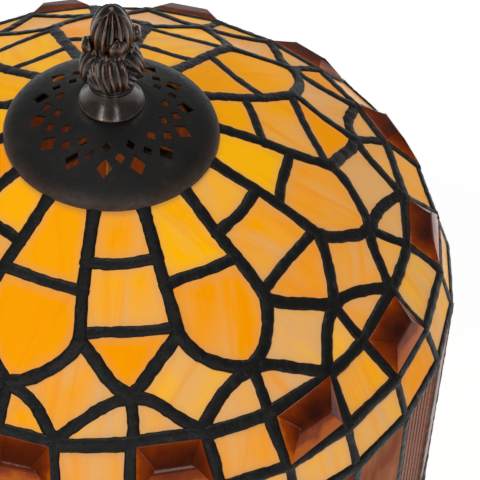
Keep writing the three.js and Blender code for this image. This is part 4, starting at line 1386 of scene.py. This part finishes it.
def make_cluster(brass, phenolic, bulb_glass):
    foot, top = heights("cluster_body")
    middle = (foot + top) / 2
    hub = [
        (0, foot), (10.6, foot), (11.4, foot + 0.5), (11.8, foot + 2), (14, foot + 4.2), (15, foot + 6.6),
        (15, foot + 8.4), (15.5, foot + 9.2),
    ]
    hub += [
        (15.5, foot + 10.4), (15, foot + 11.2), (15, top - 9), (14.4, top - 6.6), (12.2, top - 3.2),
        (10, top - 2), (9.4, top - 1.4), (9.0, top - 0.3), (8.4, top), (0, top),
    ]
    settle(turned("turned_hub", hub, brass, 96), "stand", "brass", "cluster_body")

    # outlines from here on run along a socket's own axis, from the hub's middle
    for name, side in (("1", 1), ("2", -1)):
        tilt = Matrix.Rotation(side * (TURN / 4 - SOCKET_TILT), 4, "Y")
        tilt = Matrix.Translation((0, 0, middle * MM)) @ tilt
        pipe = [*thread_rows(4.85, 9.4, 26.6, 1.2), (3.2, 26.6), (3.2, 9.4)]
        thread = outside_only(threaded(1.2, 0.35, 9, 27), 4)
        arm = turned("nipple_" + name, pipe, brass, 40, thread, tilt)
        settle(arm, "stand", "brass", "socket_arm_" + name)

        cup = [
            (5.2, 20), (8.0, 20), (8.5, 20.5), (8.5, 24.2), (9.1, 25.2), (12, 26.7), (14.8, 29.3),
            (16.8, 32), (17.4, 34), (17.5, 35.6),
        ]
        cup += [(18.0, 36.1), (18.1, 37), (17.7, 37.8), (16.6, 37.9), (16.6, 33.6), (13, 29.6), (5.2, 28.6)]
        cap = turned("socket_cup_" + name, cup, brass, 96, place=tilt)
        settle(cap, "stand", "brass", "socket_cap_" + name)

        shell = [
            (16.6, 38.3), (17.3, 38.3), (17.5, 38.8), (17.5, 41), (18, 41.5), (18, 42.2), (17.5, 42.7),
            (17.5, 44),
        ]
        shell += [(17.5, 44 + k * 2.5) for k in range(1, 9)]
        shell += [
            (17.5, 66.5), (17.5, 69), (18, 69.5), (18, 70.2), (17.5, 70.7), (17.5, 73), (17.9, 73.6),
            (17.6, 74.2), (17, 74.3), (16.6, 73.6),
        ]
        fluting = outside_only(reeded(40, 0.35, 44.5, 66.5, 2.5), 17)
        spout_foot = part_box("socket_shell_" + name)[0].z / MM
        spout = [
            (2.3, 0.4), (2.8, 0), (3.6, 0), (4, 0.5), (4, 1.6), (3.5, 2.2), (3.5, 4), (4, 6.5), (4, 10),
            (2.3, 10),
        ]
        points, faces, raised = lathe_grid(spout, 40)
        slant = side * math.tan(SOCKET_TILT)
        placed = []
        for x, y, z in points:
            if z > 9 * MM:
                z += slant * x + 0.6 * MM
            placed.append((x + side * SPOUT_X * MM, y, z + spout_foot * MM))
        back = tilt.inverted()
        spout_part = ([tuple(back @ Vector(p)) for p in placed], faces, raised)
        piece = turned("socket_body_" + name, shell, brass, 200, fluting, tilt, [spout_part])
        settle(piece, "stand", "brass", "socket_shell_" + name)

        core = [
            (0, 34), (15.7, 34), (16.2, 34.5), (16.2, 72.8), (15.8, 73.3), (15, 73.3), (14.6, 72.8),
            (14.6, 46), (0, 46),
        ]
        liner = turned("socket_liner_" + name, core, phenolic, 72, place=tilt)
        settle(liner, "stand", "phenolic", "socket_core_" + name)

        screw = [(0, 46.3), (3.6, 46.3), (4.6, 46.6), (5.4, 47.4), (8, 48.6), (11.6, 50.4), (12.9, 51.6)]
        screw += thread_rows(13, 52, 71, 3.6, 10)
        neck = [
            (13.2, 71.6), (13.6, 72.6), (14.2, 76), (15.2, 81), (17.6, 90), (21.2, 99), (25.4, 109),
            (28.8, 118), (30, 125),
        ]
        neck += [(29.3, 131.5), (27, 139), (22.4, 146), (15.6, 151.3), (7.8, 153.8), (0, 154.3)]
        coils = threaded(3.6, 1.1, 51.5, 71.5)
        bulb = turned("frosted_bulb_" + name, [*screw, *smooth_profile(neck, 4)], bulb_glass, 96, coils, tilt)
        bulb.data.materials.append(brass)
        along_axis = tilt.to_3x3() @ Vector((0, 0, 1))
        centre = Vector((0, 0, middle * MM))
        for polygon in bulb.data.polygons:
            if (polygon.center - centre).dot(along_axis) < 71.8 * MM:
                polygon.material_index = 1
        settle(bulb, "stand", "bulb_glass", "bulb_" + name)


CHAIN_BEADS = 24


def chain_tree(brass):
    """Beads on every point and a fine wire along every edge."""
    tree, given, output = new_tree("bead_chain", {"Bead": 1.6 * MM, "Wire": 0.5 * MM, "Material": brass})
    ball = step(tree, "GeometryNodeMeshUVSphere", {"Segments": 20, "Rings": 12, "Radius": given["Bead"]})
    beads = step(tree, "GeometryNodeInstanceOnPoints", {"Points": given["Geometry"], "Instance": ball})
    curve = step(tree, "GeometryNodeMeshToCurve", {"Mesh": given["Geometry"]})
    ring = step(tree, "GeometryNodeCurvePrimitiveCircle", {"Resolution": 8, "Radius": given["Wire"]})
    wire = step(tree, "GeometryNodeCurveToMesh", {"Curve": curve, "Profile Curve": ring, "Fill Caps": True})
    finish_tree(tree, joined(tree, [beads, wire]), given, output)
    return tree


def make_chains(brass, bronze):
    tree = chain_tree(brass)
    for name, side in (("1", 1), ("2", -1)):
        low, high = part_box("pull_chain_" + name)
        x = side * SPOUT_X * MM
        pitch = (high.z - low.z) / CHAIN_BEADS
        middles = [(x, 0, high.z - pitch * (k + 0.5)) for k in range(CHAIN_BEADS)]
        line = line_piece("chain_line", middles, [(k, k + 1) for k in range(CHAIN_BEADS - 1)])
        chain = grown(line, tree, {"Material": brass}, "bead_chain_" + name)
        settle(chain, "chain_" + name, "brass", "pull_chain_" + name)
        foot, top = heights("chain_knob_" + name)
        acorn = [
            (0, top), (1.4, top), (2, top - 0.4), (2.1, top - 1.4), (1.7, top - 1.9), (2.3, top - 2.5),
            (3.4, top - 3.8), (4.5, top - 5.6),
        ]
        acorn += [
            (4.9, top - 6.6), (4.6, top - 7.1), (5, top - 7.7), (5, top - 9.2), (4.5, top - 11.4),
            (3.4, top - 13.4), (1.9, top - 15), (1.1, top - 15.6), (0, foot),
        ]
        ribs = reeded(12, 0.45, foot + 1, top - 7.4, 2)
        aside = Matrix.Translation((x, 0, 0))
        bell = turned("pull_knob_" + name, smooth_profile(acorn, 3), bronze, 64, ribs, aside)
        settle(bell, "chain_" + name, "bronze", "chain_knob_" + name)


SPOKES = 3
SPOKE_HALF = 3.5
NUT_FLATS = 14


def spoke(angle, foot, reach):
    """Points, faces and raised shares of an arm of the wheel, waisted between its hub and its rim."""
    turn = Matrix.Rotation(angle, 4, "Z")
    half = SPOKE_HALF
    right = [(half - 0.7, 0), (half, 0.7), (half, 2.1), (half - 0.9, 2.9)]
    left = [(-half + 0.9, 2.9), (-half, 2.1)]
    section = [(-half, 0.7), (-half + 0.7, 0), *right, *left]
    stations = [(8, 1.3), (12, 1.06), (18, 0.9), (26, 0.86), (34, 0.98), (reach, 1.3)]
    points, faces = [], []
    for place, width in stations:
        points += [tuple(turn @ Vector((a * width * MM, -place * MM, (foot + b) * MM))) for a, b in section]
    n = len(section)
    for i in range(len(stations) - 1):
        for j in range(n):
            k = (j + 1) % n
            faces.append((n * i + j, n * i + k, n * i + n + k, n * i + n + j))
    faces += [tuple(range(n - 1, -1, -1)), tuple(range(len(points) - n, len(points)))]
    return points, faces, [0] * len(points)


def make_support(brass, dull_brass):
    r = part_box("shade_wheel")[1].x / MM
    foot, top = heights("shade_top_ring")
    band = [
        (r - 3, foot + 0.4), (r - 2.6, foot), (r - 0.4, foot), (r, foot + 0.4), (r, top - 0.5),
        (r - 0.5, top), (r - 2.5, top), (r - 3, top - 0.5),
    ]
    settle(turned("crown_ring", band, brass, 112, faceted), "shade", "brass", "shade_top_ring")

    foot, top = heights("shade_wheel")
    plate = top - 2
    rim = [
        (r - 6, foot + 0.5), (r - 5.4, foot), (r - 0.6, foot), (r, foot + 0.5), (r, plate - 0.4),
        (r - 0.4, plate), (r - 5.5, plate), (r - 6, plate - 0.5),
    ]
    hub = [
        (RISER_BORE, foot), (9.2, foot), (10, foot + 0.7), (10, plate), (9.4, plate + 0.6),
        (8.4, plate + 1.4), (7.6, top), (RISER_BORE, top),
    ]
    parts = [lathe_grid(hub, 112)]
    parts += [spoke(TURN * (k + 0.5) / SPOKES, foot, r - 4.5) for k in range(SPOKES)]
    wheel = turned("shade_spider", rim, dull_brass, 112, faceted, others=parts)
    settle(wheel, "stand", "brass", "shade_wheel")

    foot, top = heights("riser_nut")
    profile = nut_profile(NUT_FLATS, RISER_BORE, foot, top)
    nut = turned("hex_nut", profile, dull_brass, 96, outside_only(hexagonal(NUT_FLATS), 5))
    settle(nut, "stand", "brass", "riser_nut")
    foot, top = heights("riser_rod")
    rows = thread_rows(3.1, foot + 0.4, top - 0.4, 1.6)
    rod = [(0, foot), (2.6, foot), *rows, (2.6, top), (0, top)]
    settle(turned("riser", rod, brass, 28, threaded(1.6, 0.35, foot, top)), "stand", "brass", "riser_rod")


def make_rim(patina):
    foot, top = heights("shade_bottom_rim")
    outer = DRUM_R / MM
    wide = outer + 0.9
    channel = [
        (wide - 5.4, foot + 0.7), (wide - 4.8, foot), (wide - 0.6, foot), (wide, foot + 0.7),
        (wide, top + 0.6), (wide - 0.5, top + 1.2), (wide - 1.6, top + 1.2),
    ]
    channel += [
        (wide - 1.8, top), (wide - 3.6, top), (wide - 3.8, top + 1.2), (wide - 4.9, top + 1.2),
        (wide - 5.4, top + 0.6),
    ]
    settle(
        turned("rim_channel", channel, patina, 112, faceted), "shade", "blackened_metal", "shade_bottom_rim"
    )


# ---------------------------------------------------------------- the lamp
make_camera()
make_studio()
make_glass()
make_solder()
make_jewels()
make_vent_cap()
bronze = rubbed_bronze()
make_finial(bronze)

brass = aged_brass()
iron = speckled("raw_iron", (0.05, 0.05, 0.052), (0.11, 0.1, 0.095), 0.65, 0.8, 90, 0.0006)
phenolic = speckled("moulded_phenolic", (0.02, 0.015, 0.013), (0.03, 0.022, 0.018), 0.4, 0, 300, 0.0002)
felt = speckled("green_felt", (0.012, 0.035, 0.022), (0.02, 0.055, 0.035), 0.95, 0, 900, 0.0008)
make_foot(bronze, felt, phenolic)
make_column(bronze)
make_cluster(brass, phenolic, frosted_bulb())
make_chains(brass, bronze)
make_support(brass, speckled("dull_brass", (0.09, 0.055, 0.022), (0.05, 0.032, 0.016), 0.6, 0.9, 120, 0.0004))
make_rim(bpy.data.materials["solder_patina"])

# the pieces hidden inside the foot and the column keep their shape and take a finish
for name, finish in (
    ("base_weight", iron), ("base_washer", iron), ("threaded_pipe", iron), ("base_nut", brass),
):
    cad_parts[name].data.materials.clear()
    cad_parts[name].data.materials.append(finish)
